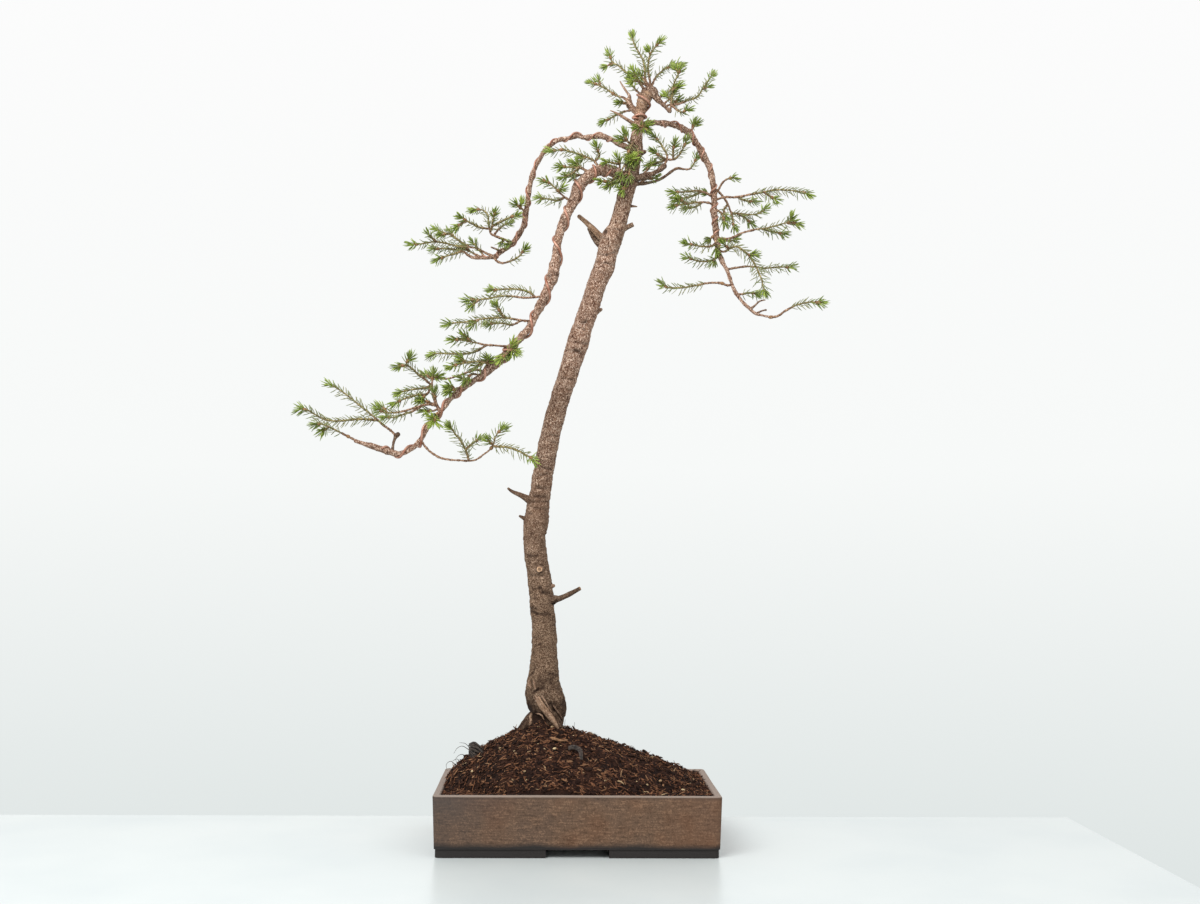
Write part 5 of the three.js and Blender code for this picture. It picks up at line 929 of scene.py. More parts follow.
def bark(style, young, girdle, seed):
    """How far bark stands out, and how dark its seams are, at places given round and along a limb. Plates:
    cells 4.4 mm round by 2.8 mm along, sunk at their edges, each at its own height, with dark smudges and a
    broken crack round the trunk every 19 mm. Pegs: a round bump in each cell of 2.4 by 3 mm, on knuckles
    about 17 mm apart. Streaks: noise drawn out to 11 mm along the grain."""
    lumps = clouds(girdle / 15, seed)
    if style == "plates":
        first, second, tone = cells(girdle / PLATE, seed)
        seam = 1 - smooth(0.02, 0.24, second - first)
        wrinkles = clouds(girdle / (11, 11, 2.2), seed + 9)
        crack = rings_round(girdle[..., 2] + 3.0 * clouds(girdle / 13, seed + 7), CRACKS_APART, 0.9)
        crack *= smooth(0.0, 0.5, clouds(girdle / 8, seed + 8))
        smudge = smooth(0.15, 0.9, clouds(girdle / (17, 17, 7), seed + 6))
        out = 0.7 * lumps + 0.3 * wrinkles + 0.4 * (tone - 0.5) - 0.4 * seam - 0.5 * crack
        dark = 0.2 * seam + 0.6 * crack + 0.27 * smudge - 0.15 * wrinkles
        return out * (1 - 0.3 * young), np.clip(dark, 0, 1) * (1 - 0.45 * young)
    if style == "pegs":
        first, _, tone = cells(girdle / PEG, seed)
        wavy = girdle[..., 2] + 4.0 * clouds(girdle / (90, 90, 30), seed + 7)
        knuckle = rings_round(wavy, KNUCKLES_APART, 3.2)
        out = 0.75 * lumps + 0.5 * smooth(0.65, 0.1, first) + 0.35 * tone + 0.6 * knuckle - 0.55
        return out, np.clip(smooth(0.45, 0.85, first) * 0.45 + 0.3 * smooth(0.2, 1.0, lumps), 0, 1)
    grain = clouds(girdle / GRAIN, seed)
    return 0.4 * lumps + 0.45 * grain, smooth(0.0, 0.9, -grain) * 0.6


def marked(points, wobble):
    """How deep the marks on the trunk's front go at each point: depth e^(-(d / w)^2) at distance d from a
    mark's line in the front view, where d wobbles a little."""
    reach = (points - EYE) * (-EYE[1] / (points[..., 1:2] - EYE[1]))
    read = (EYE + reach)[..., [0, 2]]
    total = np.zeros(read.shape[:-1])
    for x0, z0, x1, z1, width, depth in MARKS:
        start, way = np.array([x0, z0]), np.array([x1 - x0, z1 - z0])
        share = np.clip((read - start) @ way / (way @ way), 0, 1)
        apart = np.linalg.norm(read - start - share[..., None] * way, axis=-1) + wobble
        total += depth * np.exp(-((apart / width) ** 2))
    return total


def limb_rings(line, radius_at_end, spacing, is_cut):
    """Distances along a limb for its rings, the share of the radius that each has, and how pale its cut is.
    A saw cut is a flat face with a dark pith. Any other end is rounded like half a ball."""
    if is_cut:
        body = np.linspace(0, line.length - 0.5, max(5, round(line.length / spacing)))
        shares = np.append(np.ones(len(body)), [1.0, 0.93, 0.74, 0.45, 0.2])
        along = np.append(body, line.length - np.array([0.25, 0.0, 0.0, 0.15, 0.3]))
        return along, shares, np.append(np.zeros(len(body)), [0.3, 1.0, 1.0, 0.9, 0.6])
    body = np.linspace(0, line.length - radius_at_end, max(5, round(line.length / spacing)))
    turn = np.radians([20, 40, 60, 78])
    along = np.append(body, line.length - radius_at_end * (1 - np.sin(turn)))
    return along, np.append(np.ones(len(body)), np.cos(turn)), np.zeros(len(along))


def trunk_bark(stations, radius, angle, girdle, seed):
    """The trunk's own bark: how far it stands out, how dark its seams are, how young and bare it is, and its
    darkness, which is painted shade. Its marks are cut in at the front, its foot is split upright and has
    painted shade at the left, and close rings go round its bare bent top."""
    place, _, front, side, _ = stations
    height = place[:, None, 2] + 0 * radius
    young = 0.5 * smooth(200, 420, height) + 0.45 * smooth(430, 520, height) * smooth(640, 560, height)
    young += 0.5 * smooth(690, 740, height)
    out, seam = bark("plates", young, girdle, seed)
    around = np.cos(angle)[:, None] * front[:, None] + np.sin(angle)[:, None] * side[:, None]
    cut_in = marked(place[:, None] + radius[..., None] * around, 0.5 * clouds(girdle / 2.2, 77))
    cut_in *= smooth(-0.2, 0.3, np.cos(angle))
    split = smooth(0.0, 0.8, clouds(girdle / (2.4, 2.4, 16), 55)) * smooth(178, 150, height)
    ringed = (0.5 - 0.5 * np.cos(2 * math.pi * girdle[..., 2] / 3.3)) * smooth(731, 741, height)
    out -= cut_in + 0.5 * split + 0.9 * ringed
    seam += 0.5 * np.maximum(cut_in, 0) + 0.35 * split + 0.3 * ringed**2 + 0.2 * smooth(172, 150, height)
    bare = 0.85 * smooth(715, 738, height) * (1 - 0.8 * ringed**2)
    # painted shade at the left of the foot, below 128 to 150 mm
    dark = 0.3 * smooth(150, 128, height) * smooth(-20, -34, place[:, None, 0] + radius * np.sin(angle))
    return out, np.clip(seam, 0, 0.95), young, bare, dark


def limb_skin(heap, name, points, depth, number):
    """One limb: its line's radius round about, `depth` times the bark's relief, and a collar where it
    leaves its carrier, (1 + 0.2 e^(-s / 5)) at s millimetres."""
    style, young, bare, dark = LOOKS.get(name, PLAIN_LOOK)
    line = Line(points)
    widest = line.width.max() / 2
    sides = int(np.clip(2 * math.pi * widest / FACET, 9, 84))
    gap = TRUNK_RING_GAP if name == "trunk" else RING_GAP
    along, shares, paleness = limb_rings(line, line.width[-1] / 2, gap, name in SAWN)
    stations = line.at(along)
    radius = stations[4][:, None] * np.ones(sides)
    angle = 2 * math.pi * np.arange(sides) / sides
    girdle = np.stack([radius * np.cos(angle), radius * np.sin(angle), along[:, None] + 0 * radius], -1)
    seed = 11 * number + 3
    if name == "trunk":
        out, seam, young, bare, dark = trunk_bark(stations, radius, angle, girdle, seed)
    else:
        out, seam = bark(style, young, girdle, seed)
    slim = np.minimum(1, radius / 4)
    collar = 0.0 if name in ("trunk", "cut_knot") else 0.2 * np.exp(-along / 5)[:, None]
    reach = np.maximum(radius * (1 + collar) + depth * slim * out, 0.4 * radius) * shares[:, None]
    cut = np.maximum(bare * (0.7 + 0.6 * clouds(girdle / (3, 3, 14), number)), paleness[:, None] + 0 * radius)
    pith = np.where(shares < 0.5, 0.55, 0.0)[:, None]
    # the seams take the limb's darkness: its own darker bark on limbs, painted shade at the foot of the trunk
    seam = np.where(paleness[:, None] > 0.5, pith, np.clip(seam * slim + dark, 0, 1))
    heap.sweep(stations, reach, seam=seam, young=young, cut=np.clip(cut, 0, 1))


def laid_strip(heap, trunk, bare, dark, points, number):
    """A strip of root bark, laid on the trunk's front: at x, z it stands sqrt(r^2 - (x - x0)^2) before the
    trunk's line, which passes x0 there with radius r."""
    table = []
    for x, z, width in points:
        middle, depth, radius = (
            np.interp(z, trunk.read[:, 2], values)
            for values in (trunk.read[:, 0], trunk.read[:, 1], trunk.width / 2))
        table.append((x, z, depth - math.sqrt(max(radius**2 - (x - middle) ** 2, 4.0)) - 0.5, width))
    line = Line(table)
    along = np.linspace(0, line.length, round(line.length / 0.6))
    stations = line.at(along)
    angle = 2 * math.pi * np.arange(10) / 10
    run = along[:, None] + 0 * angle
    girdle = np.stack([np.cos(angle) + 0 * run, np.sin(angle) + 0 * run, run / 4], -1)
    drawn_in = np.sqrt(np.clip(np.minimum(along, line.length - along) / 2, 0.05, 1))
    reach = stations[4][:, None] * (1 + 0.35 * clouds(girdle, 40 + number)) * drawn_in[:, None]
    seam = np.clip(dark + 0.35 * clouds(girdle, 60 + number), 0, 0.9)
    heap.sweep(stations, reach, cut=bare, seam=seam, young=0.5)


# Sprays


def plan_spray(limbs, limb_name, twigs):
    """The twigs of a spray as (line, start of its own wood, where its needles begin). The first leaves its
    limb, and each later one forks from the nearest twig before it."""
    limb = limbs[limb_name]
    planned = []
    for reach, bare, points in twigs:
        carriers = [(line, clear + 2, line.length * 0.99 - NEEDLE_REACH - 0.5) for line, clear, _ in planned]
        found = [
            (line, *line.nearest(*points[0][:2], first, last))
            for line, first, last in carriers or [(limb, 0, None)]]
        carrier, along, _ = min(found, key=lambda entry: entry[2])
        x, depth, z = carrier.read_at(along)
        corners = [(x, z), *[point[:2] for point in points[1:]]]
        steps = [math.dist(a, b) for a, b in zip(corners, corners[1:])]
        shares = np.append(0, np.cumsum(steps)) / sum(steps)
        behind = [point[2] if len(point) > 2 else reach * share for point, share in zip(points, shares)]
        behind[0] = 0.0
        widths = np.interp(shares, (0, 1), TWIG_WIDTH)
        line = Line([(*corner, depth + back, width) for corner, back, width in zip(corners, behind, widths)])
        clear = 0.0
        if not planned:
            places = line.at(np.arange(0, line.length, 0.5))[0]
            axis, axis_radius = limb.at(np.arange(0, limb.length, 1.0))[0], limb.at(along)[4]
            apart = np.linalg.norm(places[:, None] - axis[None], axis=-1).min(axis=1)
            clear = 0.5 * int(np.argmax(apart >= axis_radius + 1.6))
        begin = line.nearest(*corners[bare - 1])[0] if bare > 1 else 0.0
        planned.append((line, clear, max(clear + 2, begin)))
    return planned


def needle_rows(draw, begin, end, look):
    """Places along a twig and turns round it for its needles: one each `pitch`, a golden angle on from the
    last, and a tuft of new ones crowded at the end."""
    count = max(3, int((end - begin) * MM / look.needle_pitch))
    along = begin + (end - begin) * (np.arange(count) + draw.uniform(-0.4, 0.4, count)) / count
    kept = draw.random(count) > 0.06
    tuft = end - TUFT_REACH * draw.random(look.tuft) ** 1.2
    along = np.append(along[kept], np.maximum(tuft, begin))
    turn = GOLDEN * np.arange(len(along)) + draw.normal(0, 0.35, len(along))
    is_new = np.arange(len(along)) >= kept.sum()
    return along, turn, is_new


def paced(shares, vectors):
    """Each share of each vector, counted [vector, share]."""
    return shares[None, :, None] * vectors[:, None]


def twig_bark(heap, draw, line, begin, end):
    """The wood of a twig: round with seven uneven ridges and small knots, and olive where its needles
    begin."""
    along = np.linspace(0, end, max(5, round(end)))
    stations = line.at(along)
    slim = np.interp(along, (0, line.length), (1.12, 0.86))
    knots = 1 + 0.22 * clouds(np.stack([along, along * 0, along * 0 + begin], -1) / 1.7, 5, 1)
    ridges = 1 + 0.2 * draw.uniform(-1, 1, (len(along), 7))
    drawn_in = np.sqrt(np.clip((end - along) / 1.5, 0.05, 1))
    olive = 0.9 * smooth(begin - 4, begin + 12, along)[:, None] + 0 * ridges
    heap.sweep(stations, (stations[4] * slim * knots * drawn_in)[:, None] * ridges, shade=1, fresh=olive)


def needles(heap, draw, line, begin, end, wood, size, tint, look):
    """The needles of a twig. One leaves its twig at a lean that falls from 60 degrees to 12 at the tip, and
    those on top lie 24 degrees flatter and are a third shorter, as a spruce shoot combs them. Its spine
    bends a little towards the tip, and it is thickest in the middle. None stands in the wood."""
    along, turn, is_new = needle_rows(draw, begin, end, look)
    place, direction, front, side, radius = line.at(along)
    count = len(along)
    across = np.cos(turn)[:, None] * front + np.sin(turn)[:, None] * side
    on_top = np.clip(across[:, 2], 0, 1) * np.sqrt(1 - direction[:, 2] ** 2)
    late = smooth(end - 12, end, along)
    lean = np.where(is_new, 52 - 40 * smooth(end - 5, end, along), 60 - 24 * on_top - 16 * late)
    lean = np.radians(np.clip(lean + draw.normal(0, 8, count), 6, 80))
    early = smooth(begin, begin + 12, along)
    grown = np.where(is_new, 0.95 * size**0.3, size * (0.94 + 0.12 * early) * (1 - 0.3 * on_top))
    reach = look.needle_length / MM * grown * draw.uniform(0.75, 1.12, count)
    ray = np.cos(lean)[:, None] * direction + np.sin(lean)[:, None] * across
    root = place + across * (radius * 0.5)[:, None]
    share = np.array([0.0, 0.1, 0.5, 0.82, 1.0])
    bow = paced(share**2 * 0.10, direction) + paced(share * (1 - share) * 0.12, across)
    spine = root[:, None] + (paced(share, ray) + bow) * reach[:, None, None]
    inside = np.linalg.norm(spine[:, [2, -1], None] - wood[0][None, None], axis=-1) < wood[1]
    free = ~inside.any(axis=(1, 2))
    upright = unit(np.cross(ray, across + 0.3 * direction))
    wide = np.cross(upright, ray)
    thick = look.needle_width / MM / 2 * np.array([0.7, 1.0, 0.72]) * draw.uniform(0.85, 1.15, (count, 1))
    thick = thick * np.where(is_new, 1.0, 0.9)[:, None]
    fresh = 0.08 + 0.4 * smooth(end - 26, end - 2, along) + 0.28 * is_new + tint + draw.normal(0, 0.2, count)
    heap.spindles(spine[free], thick[free], wide[free], upright[free], fresh=np.clip(fresh, 0, 1)[free])


def grow_twig(heap, draw, line, begin, wood, size, tint, look):
    """One twig with its needles and, on three in four, a bud near its end."""
    end = line.length - NEEDLE_REACH
    twig_bark(heap, draw, line, begin, end)
    needles(heap, draw, line, begin, end, wood, size, tint, look)
    if draw.random() < 0.75:
        bud(heap, line, end - 5.6, 1.75, 4.8)


def bud(heap, line, along, radius, tall):
    """A bud or the collar of scales that it leaves: a ringed egg round the twig."""
    place, direction, front, side, _ = line.at(np.array([along]))
    share = np.array([-0.5, -0.42, -0.2, 0.05, 0.3, 0.45, 0.5])
    spine = place[:, None] + paced(share * tall, direction)
    rings = radius * np.array([[0.55, 0.92, 1.0, 0.8, 0.45]])
    heap.spindles(spine, rings, front, side, 7, shade=2, fresh=0.0)


# Wire


def wire_turns(node, line, width, hand, passes):
    """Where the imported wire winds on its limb, as angles and distances along: each planned sixth of a turn is
    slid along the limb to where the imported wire's corners stand half a width away from it."""
    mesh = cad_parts[node].data
    corners = np.zeros(len(mesh.vertices) * 3, np.float32)
    mesh.vertices.foreach_get("co", corners)
    corners = np.unique(np.round(corners.reshape(-1, 3) / MM - MIDDLE, 3), axis=0)
    alongs = np.array([line.nearest(x, z)[0] for x, z in passes])
    stops = np.interp(np.arange(6 * (len(passes) - 1) + 1) / 6, np.arange(len(passes)), alongs)
    angles = hand * math.pi / 3 * np.arange(len(stops))
    found = []
    for angle, stop in zip(angles, stops):
        trial = stop + np.arange(-11, 11.1, 0.25)
        place, _, front, side, radius = line.at(trial)
        outward = math.cos(angle) * front + math.sin(angle) * side
        middle = place + outward * ((radius * 1.05 + 0.3 + width / 2) / math.cos(math.pi / 6))[:, None]
        near = np.sort(np.linalg.norm(middle[:, None] - corners[None], axis=-1), axis=1)[:, :3]
        miss = np.abs(near - width / 2).sum(axis=1) + 0.02 * np.abs(trial - stop)
        found.append(trial[miss.argmin()])
    return angles, np.array(found)


def wire_skin(heap, node, line, width, hand, passes):
    """Round wire on its helix: ten steps to each sixth of a turn, laid on the bark, with rounded cut ends."""
    angles, alongs = wire_turns(node, line, width, hand, passes)
    extra = 1 + np.arange(EXTRA_TURN.get(node, 0))
    angles = np.append(angles, angles[-1] + hand * math.pi / 3 * extra)
    alongs = np.append(alongs, alongs[-1] + extra)
    fine = np.linspace(0, len(angles) - 1, 10 * (len(angles) - 1) + 1)
    angle = np.interp(fine, np.arange(len(angles)), angles)
    along = np.interp(fine, np.arange(len(angles)), alongs)
    along = np.convolve(np.pad(along, 6, mode="edge"), np.ones(13) / 13, mode="valid")
    place, _, front, side, radius = line.at(along)
    outward = np.cos(angle)[:, None] * front + np.sin(angle)[:, None] * side
    path = place + outward * (radius + width / 2 - WIRE_SINK)[:, None]
    direction = unit(np.gradient(path, axis=0))
    face = unit(outward - direction * np.sum(outward * direction, axis=1, keepdims=True))
    ends = np.sqrt(np.clip(np.minimum(fine, fine[-1] - fine) / 0.8 + 0.1, 0, 1))
    reach = (width / 2 * ends)[:, None] * np.ones(10)
    heap.sweep((path, direction, face, np.cross(direction, face), radius), reach)


# Soil


def soil_height(x, y):
    """The mound: edge + mound (1 - away)^(slope + lean aside / away), where away is 0 at the trunk and 1
    along the rim, and aside is its part to the right."""
    reach_x, reach_y = SOIL_REACH
    peak_x, peak_y = SOIL["peak"]
    aside = (x - peak_x) / np.where(x < peak_x, reach_x + peak_x, reach_x - peak_x)
    ahead = (y - peak_y) / np.where(y < peak_y, reach_y + peak_y, reach_y - peak_y)
    away = np.maximum(np.hypot(aside, ahead), 0.001)
    power = SOIL["slope"] + SOIL["lean"] * aside / away
    return SOIL["edge"] + SOIL["mound"] * np.maximum(0, 1 - away) ** power


def crumbled(x, y):
    """The mound with crumbs on it: noise of 10 mm and 3 mm, less near the rim."""
    inner = np.clip(np.minimum(SOIL_REACH[0] - np.abs(x), SOIL_REACH[1] - np.abs(y)) / 8, 0.15, 1)
    spots = np.stack([x, y, 0 * x], -1)
    return soil_height(x, y) + inner * (1.9 * clouds(spots / 10, 21) + 1.6 * clouds(spots / 3.6, 22, 2))


def soil_skin(heap, spacing):
    """The mix as a closed block: its crumbled top on a grid, straight sides and a flat bottom on the pot's
    floor."""
    half_x, half_y = (reach - 0.5 for reach in SOIL_REACH)
    columns, rows = round(2 * half_x / spacing), round(2 * half_y / spacing)
    across, back = np.linspace(-half_x, half_x, columns + 1), np.linspace(-half_y, half_y, rows + 1)
    y, x = (grid.ravel() for grid in np.meshgrid(back, across, indexing="ij"))
    z = crumbled(x, y)
    top = np.stack([x, y, z], -1)
    stride = columns + 1
    row, column = (grid.ravel() for grid in np.meshgrid(np.arange(rows), np.arange(columns), indexing="ij"))
    corner = row * stride + column
    cover = np.stack([corner, corner + 1, corner + stride + 1, corner + stride], -1)
    border = np.concatenate([
        np.arange(columns), np.arange(rows) * stride + columns,
        rows * stride + np.arange(columns, 0, -1), np.arange(rows, 0, -1) * stride])
    inset = 1 - 3.5 / np.array([half_x, half_y])
    floor = POT["floor"] + 0.3
    low = np.column_stack([top[border, :2] * inset, np.full(len(border), floor)])
    points = np.vstack([top, low, [[0, 0, floor]]])
    first = len(top) + np.arange(len(border))
    sides = np.stack([border, first, np.roll(first, -1), np.roll(border, -1)], -1)
    bottom = np.stack([np.full(len(border), len(points) - 1), np.roll(first, -1), first], -1)
    tone = np.zeros(len(points))
    spots = np.stack([x, y, 0 * x], -1)
    proud = z - soil_height(x, y)
    # painted shade: the mound is darker where it sinks below its smooth height and paler where crumbs stand
    # above it
    tone[: len(top)] = np.clip(0.12 + 0.1 * proud + 0.15 * clouds(spots / 3, 31), 0, 0.6)
    heap.take(points, [cover, sides, bottom], tone=tone)


def scatter(draw, count, margin):
    """Random spots on the soil, sqrt(1 + rise^2) as many where it rises, so that they cover it evenly, with
    the slope's own right-hand, forward and outward directions there."""
    half_x, half_y = (reach - margin for reach in SOIL_REACH)
    x, y = draw.uniform(-half_x, half_x, 5 * count), draw.uniform(-half_y, half_y, 5 * count)
    rise_x = soil_height(x + 1, y) - soil_height(x - 1, y)
    rise_y = soil_height(x, y + 1) - soil_height(x, y - 1)
    kept = draw.random(5 * count) < np.sqrt(1 + (np.hypot(rise_x, rise_y) / 2) ** 2) / 5
    x, y, rise_x, rise_y = (values[kept][:count] for values in (x, y, rise_x, rise_y))
    right = unit(np.stack([2 + 0 * x, 0 * x, rise_x], -1))
    forward = unit(np.stack([0 * x, 2 + 0 * x, rise_y], -1))
    return np.stack([x, y, crumbled(x, y)], -1), right, forward, unit(np.cross(right, forward))


def litter(heap, draw, count, lengths, widths, lift, tip, tones):
    """Shreds of bark and fibre lying on the mix: flattened, bowed spindles, most of them across the slope,
    and tipped by about `tip` degrees. Lengths follow a power law, so most are short."""
    spot, right, forward, out = scatter(draw, count, 2.0)
    count = len(spot)
    turn = draw.normal(0, 0.6, count)[:, None]
    tip = np.radians(draw.normal(0, tip, count))[:, None]
    flat = np.cos(turn) * right + np.sin(turn) * forward
    ray = np.cos(tip) * flat + np.sin(tip) * out
    wide = unit(np.cross(out, ray))
    reach = lengths[0] + (lengths[1] - lengths[0]) * draw.random(count) ** 2.2
    width = draw.uniform(*widths, count)
    rise = draw.uniform(*lift, count)[:, None]
    share = np.array([-0.5, -0.38, 0.02, 0.36, 0.5])
    bow = draw.normal(0, 0.12, count)[:, None, None] * paced(1 - 4 * share**2, wide)
    spine = (spot + out * rise)[:, None] + reach[:, None, None] * (paced(share, ray) + bow)
    thick = width[:, None] / 2 * np.array([0.7, 1.0, 0.6])
    upright = np.cross(ray, wide) * draw.uniform(0.35, 0.9, count)[:, None]
    tone = np.clip(draw.choice(tones, count) + draw.normal(0, 0.08, count), 0, 1)
    heap.spindles(spine, thick, wide, upright, tone=tone)


def strand(heap, corners, width, sides=6, **values):
    """One root or hair through corners (x, y, z), tapering to two fifths of its width."""
    corners = np.array(corners, float)
    path = Line(np.column_stack([corners[:, [0, 2, 1]], np.ones(len(corners))])).read
    step = np.append(0, np.cumsum(np.linalg.norm(np.diff(path, axis=0), axis=1)))
    along = np.linspace(0, step[-1], max(5, round(step[-1] / 1.2)))
    path = np.stack([np.interp(along, step, axis) for axis in path.T], -1)
    direction = unit(np.gradient(path, axis=0))
    front = unit(np.cross(direction, unit(np.array([0.31, 0.54, 0.78]))))
    drawn_in = np.interp(along / step[-1], (0, 0.08, 1), (0.7, 1, 0.4))
    reach = (width / 2 * drawn_in)[:, None] * np.ones(sides)
    heap.sweep((path, direction, front, np.cross(direction, front), None), reach, **values)


def root_bundle(heap, draw):
    """The bundle of cut roots at the left of the mound: a core 12 mm thick, and 44 strands round it that
    swell apart in the middle, each a golden angle on from the last."""
    strand(heap, [(-106, -18, 93), (-101.5, -19, 91.5), (-95, -20, 88), (-88, -21, 82)], 12.0, sides=12)
    for i in range(44):
        turn = GOLDEN * i
        swell = np.array([0, 7.4 * math.cos(turn), 7.2 * math.sin(turn)]) * draw.uniform(0.85, 1.08)
        start, middle, end = (
            np.array(place) + share * swell + draw.normal(0, 0.6, 3)
            for place, share in (((-106.5, -18, 93), 0.5), ((-98, -19.5, 89), 1), ((-86.5, -21, 82), 0.6)))
        strand(heap, [start, (start + middle) / 2 + 0.35 * swell, middle, end], draw.uniform(1.2, 2.0))


def loose_hairs(heap):
    """Hair roots 0.7 mm thick, and three thin roots side by side at the front of the trunk."""
    for corners in HAIRS:
        strand(heap, corners, 0.7)
    for i in range(3):
        corners = [(-9, -46 + i, 96.5 + i), (-4, -47, 98 + i), (1 + i, -51, 95.5 + i), (2.5 + i, -58, 88.5)]
        strand(heap, corners, 2.4)


def sliver_and_pebbles(heap, draw):
    """A tan sliver of bark and the pebbles, each a lumpy egg: the ring at share t of its half length s has
    radius s sqrt(1 - t^2) and a draw near 1."""
    sliver = [(-27, -33, 105.4), (-22, -34, 104.8), (-15.5, -35, 103.4), (-9.5, -33, 103.8)]
    strand(heap, sliver, 3.6, tone=0.9)
    pebbles = np.array(PEBBLES)
    count = len(pebbles)
    size = draw.uniform(1.1, 2.0, count)
    size[0] = 2.6
    share = np.array([-1, -0.8, -0.3, 0.3, 0.8, 1])
    spine = pebbles[:, None, :3] + size[:, None, None] * share[None, :, None] * np.array([1, 0.2, 0.15])
    rings = size[:, None] * np.sqrt(1 - share[1:-1] ** 2) * draw.uniform(0.7, 1.0, (count, 4))
    across, upright = np.tile([0, 1.0, 0], (count, 1)), np.tile([0, 0, 0.8], (count, 1))
    heap.spindles(spine, rings, across, upright, 7, tone=pebbles[:, 3])


# Stage

# In metres: the table from left to right, front to back and bottom to top, and each lamp's size and place
TABLE = ((-0.66, 0.56), (-0.9, 0.135), (-0.03, 0.0))
LAMPS = {"key": (1.1, (-0.75, -1.2, 1.6)), "fill": (1.3, (1.2, -1.1, 1.3))}


def white_air(look):
    """White surroundings, palest overhead and greyer towards the floor."""
    world = bpy.data.worlds.new("white_surroundings")
    world.use_nodes = True
    tree = world.node_tree
    rise = add(tree, "SeparateXYZ", "Z", {"Vector": add(tree, "TexCoord", "Generated")})
    level = add(tree, "MapRange", "Result", {"Value": rise, "From Min": -0.25, "From Max": 0.35})
    shown = add(tree, "ValToRGB", "Color", {"Fac": level}, [
        (0.0, "#dbe2e1"), (0.2, "#e6ebea"), (0.5, "#f7f9f8"), (1.0, "#fcfcfc")])
    fill(tree, tree.nodes["Background"], {"Color": shown, "Strength": look.air})
    return world


def table_slab(look):
    """The table as a plain slab of stone, 30 mm thick."""
    mesh = bpy.data.meshes.new("pale_table")
    (left, right), (front, back), heights = TABLE
    outline = ((left, front), (right, front), (right, back), (left, back))
    corners = [(x, y, z) for z in heights for x, y in outline]
    sides = [(0, 3, 2, 1), (4, 5, 6, 7), (0, 1, 5, 4), (1, 2, 6, 5), (2, 3, 7, 6), (3, 0, 4, 7)]
    mesh.from_pydata(corners, [], sides)
    mesh.materials.append(stone_material(look))
    return bpy.data.objects.new("pale_table", mesh)


def soft_lamp(name, power, size, place):
    """A square soft lamp that faces a point half a metre above the table."""
    light = bpy.data.lights.new(name, "AREA")
    light.energy = power
    light.size = size
    lamp = bpy.data.objects.new(name, light)
    lamp.location = place
    lamp.rotation_euler = (Vector((0, 0, 0.5)) - Vector(place)).to_track_quat("-Z", "Y").to_euler()
    return lamp


# What a user can change


def colour(name, description, code):
    """A colour property that starts from an sRGB hex code."""
    return bpy.props.FloatVectorProperty(
        name=name, description=description, subtype="COLOR", size=4, min=0, max=1, default=linear(code))


def length(name, description, metres):
    """A length property, in metres."""
    return bpy.props.FloatProperty(
        name=name, description=description, unit="LENGTH", precision=5, default=metres)


class BonsaiTreeLook(bpy.types.PropertyGroup):
    """Looks of the wood, the needles and the wire"""

    bark_depth: bpy.props.FloatProperty(
        name="Bark depth", description="Height of the bark's relief beside the real one", default=1.0)
    bark_dark: colour("Dark bark", "Darkest scales of the trunk's bark", "#2f2018")
    bark_middle: colour("Bark", "Main colour of the trunk's bark", "#654e3d")
    bark_pale: colour("Pale bark", "Palest scales of the trunk's bark", "#ae937a")
    skin_dark: colour("Dark skin", "Darkest scales of the branches", "#593b2f")
    skin_middle: colour("Skin", "Main colour of the branches", "#95735e")
    skin_pale: colour("Pale skin", "Palest scales of the branches", "#dfc5b3")
    twig: colour("Twig", "Main colour of the shoots' own bark", "#7b5d48")
    needle_length: length("Needle length", "Length of a full-grown needle", 0.0092)
    needle_width: length("Needle width", "Thickness of a needle at its middle", 0.00105)
    needle_pitch: length("Needle pitch", "Distance along a twig from one needle to the next", 0.00095)
    tuft: bpy.props.IntProperty(name="Tuft", description="New needles crowded at each tip", default=18)
    needle_old: colour("Old needles", "Colour of needles low on a twig", "#85855b")
    needle_middle: colour("Grown needles", "Colour of needles half way", "#6c753f")
    needle_fresh: colour("Fresh needles", "Colour of needles near a tip", "#6f822b")
    needle_bright: colour("New needles", "Colour of the newest tufts", "#98a849")
    copper: colour("Copper", "Colour of the wire", "#b68c78")


class BonsaiPotLook(bpy.types.PropertyGroup):
    """Looks of the pot and the soil"""

    edge: length("Edge", "Rounding of the pot's edges", 0.0012)
    clay: colour("Clay", "Main colour of the stoneware", "#604a3a")
    # the foot band's colour is painted shade
    foot: colour("Foot", "Colour of the foot band", "#2b2827")
    soil_grid: length("Soil grid", "Spacing of the soil's surface grid", 0.0014)
    shreds: bpy.props.IntProperty(
        name="Shreds", description="Bark shreds and fibres on the soil", default=7000)
    soil_dark: colour("Dark soil", "Colour of damp crumbs", "#180c08")
    soil_middle: colour("Soil", "Main colour of the mix", "#3c2419")
    soil_red: colour("Red fibres", "Colour of the redder fibres", "#785038")


class BonsaiStageLook(bpy.types.PropertyGroup):
    """Looks of the table, the air and the lamps"""

    table: colour("Table", "Colour of the pale table", "#c5cbca")
    air: bpy.props.FloatProperty(
        name="Surroundings", description="Brightness of the white surroundings", default=1.0)
    key: bpy.props.FloatProperty(
        name="Key lamp", description="Power of the large soft lamp", unit="POWER", default=34.0)
    fill: bpy.props.FloatProperty(
        name="Fill lamp", description="Power of the soft lamp on the other side", unit="POWER", default=5.0)


# Makers


def line_of(name):
    """The line of a limb, by its name."""
    return Line(LIMBS[name])


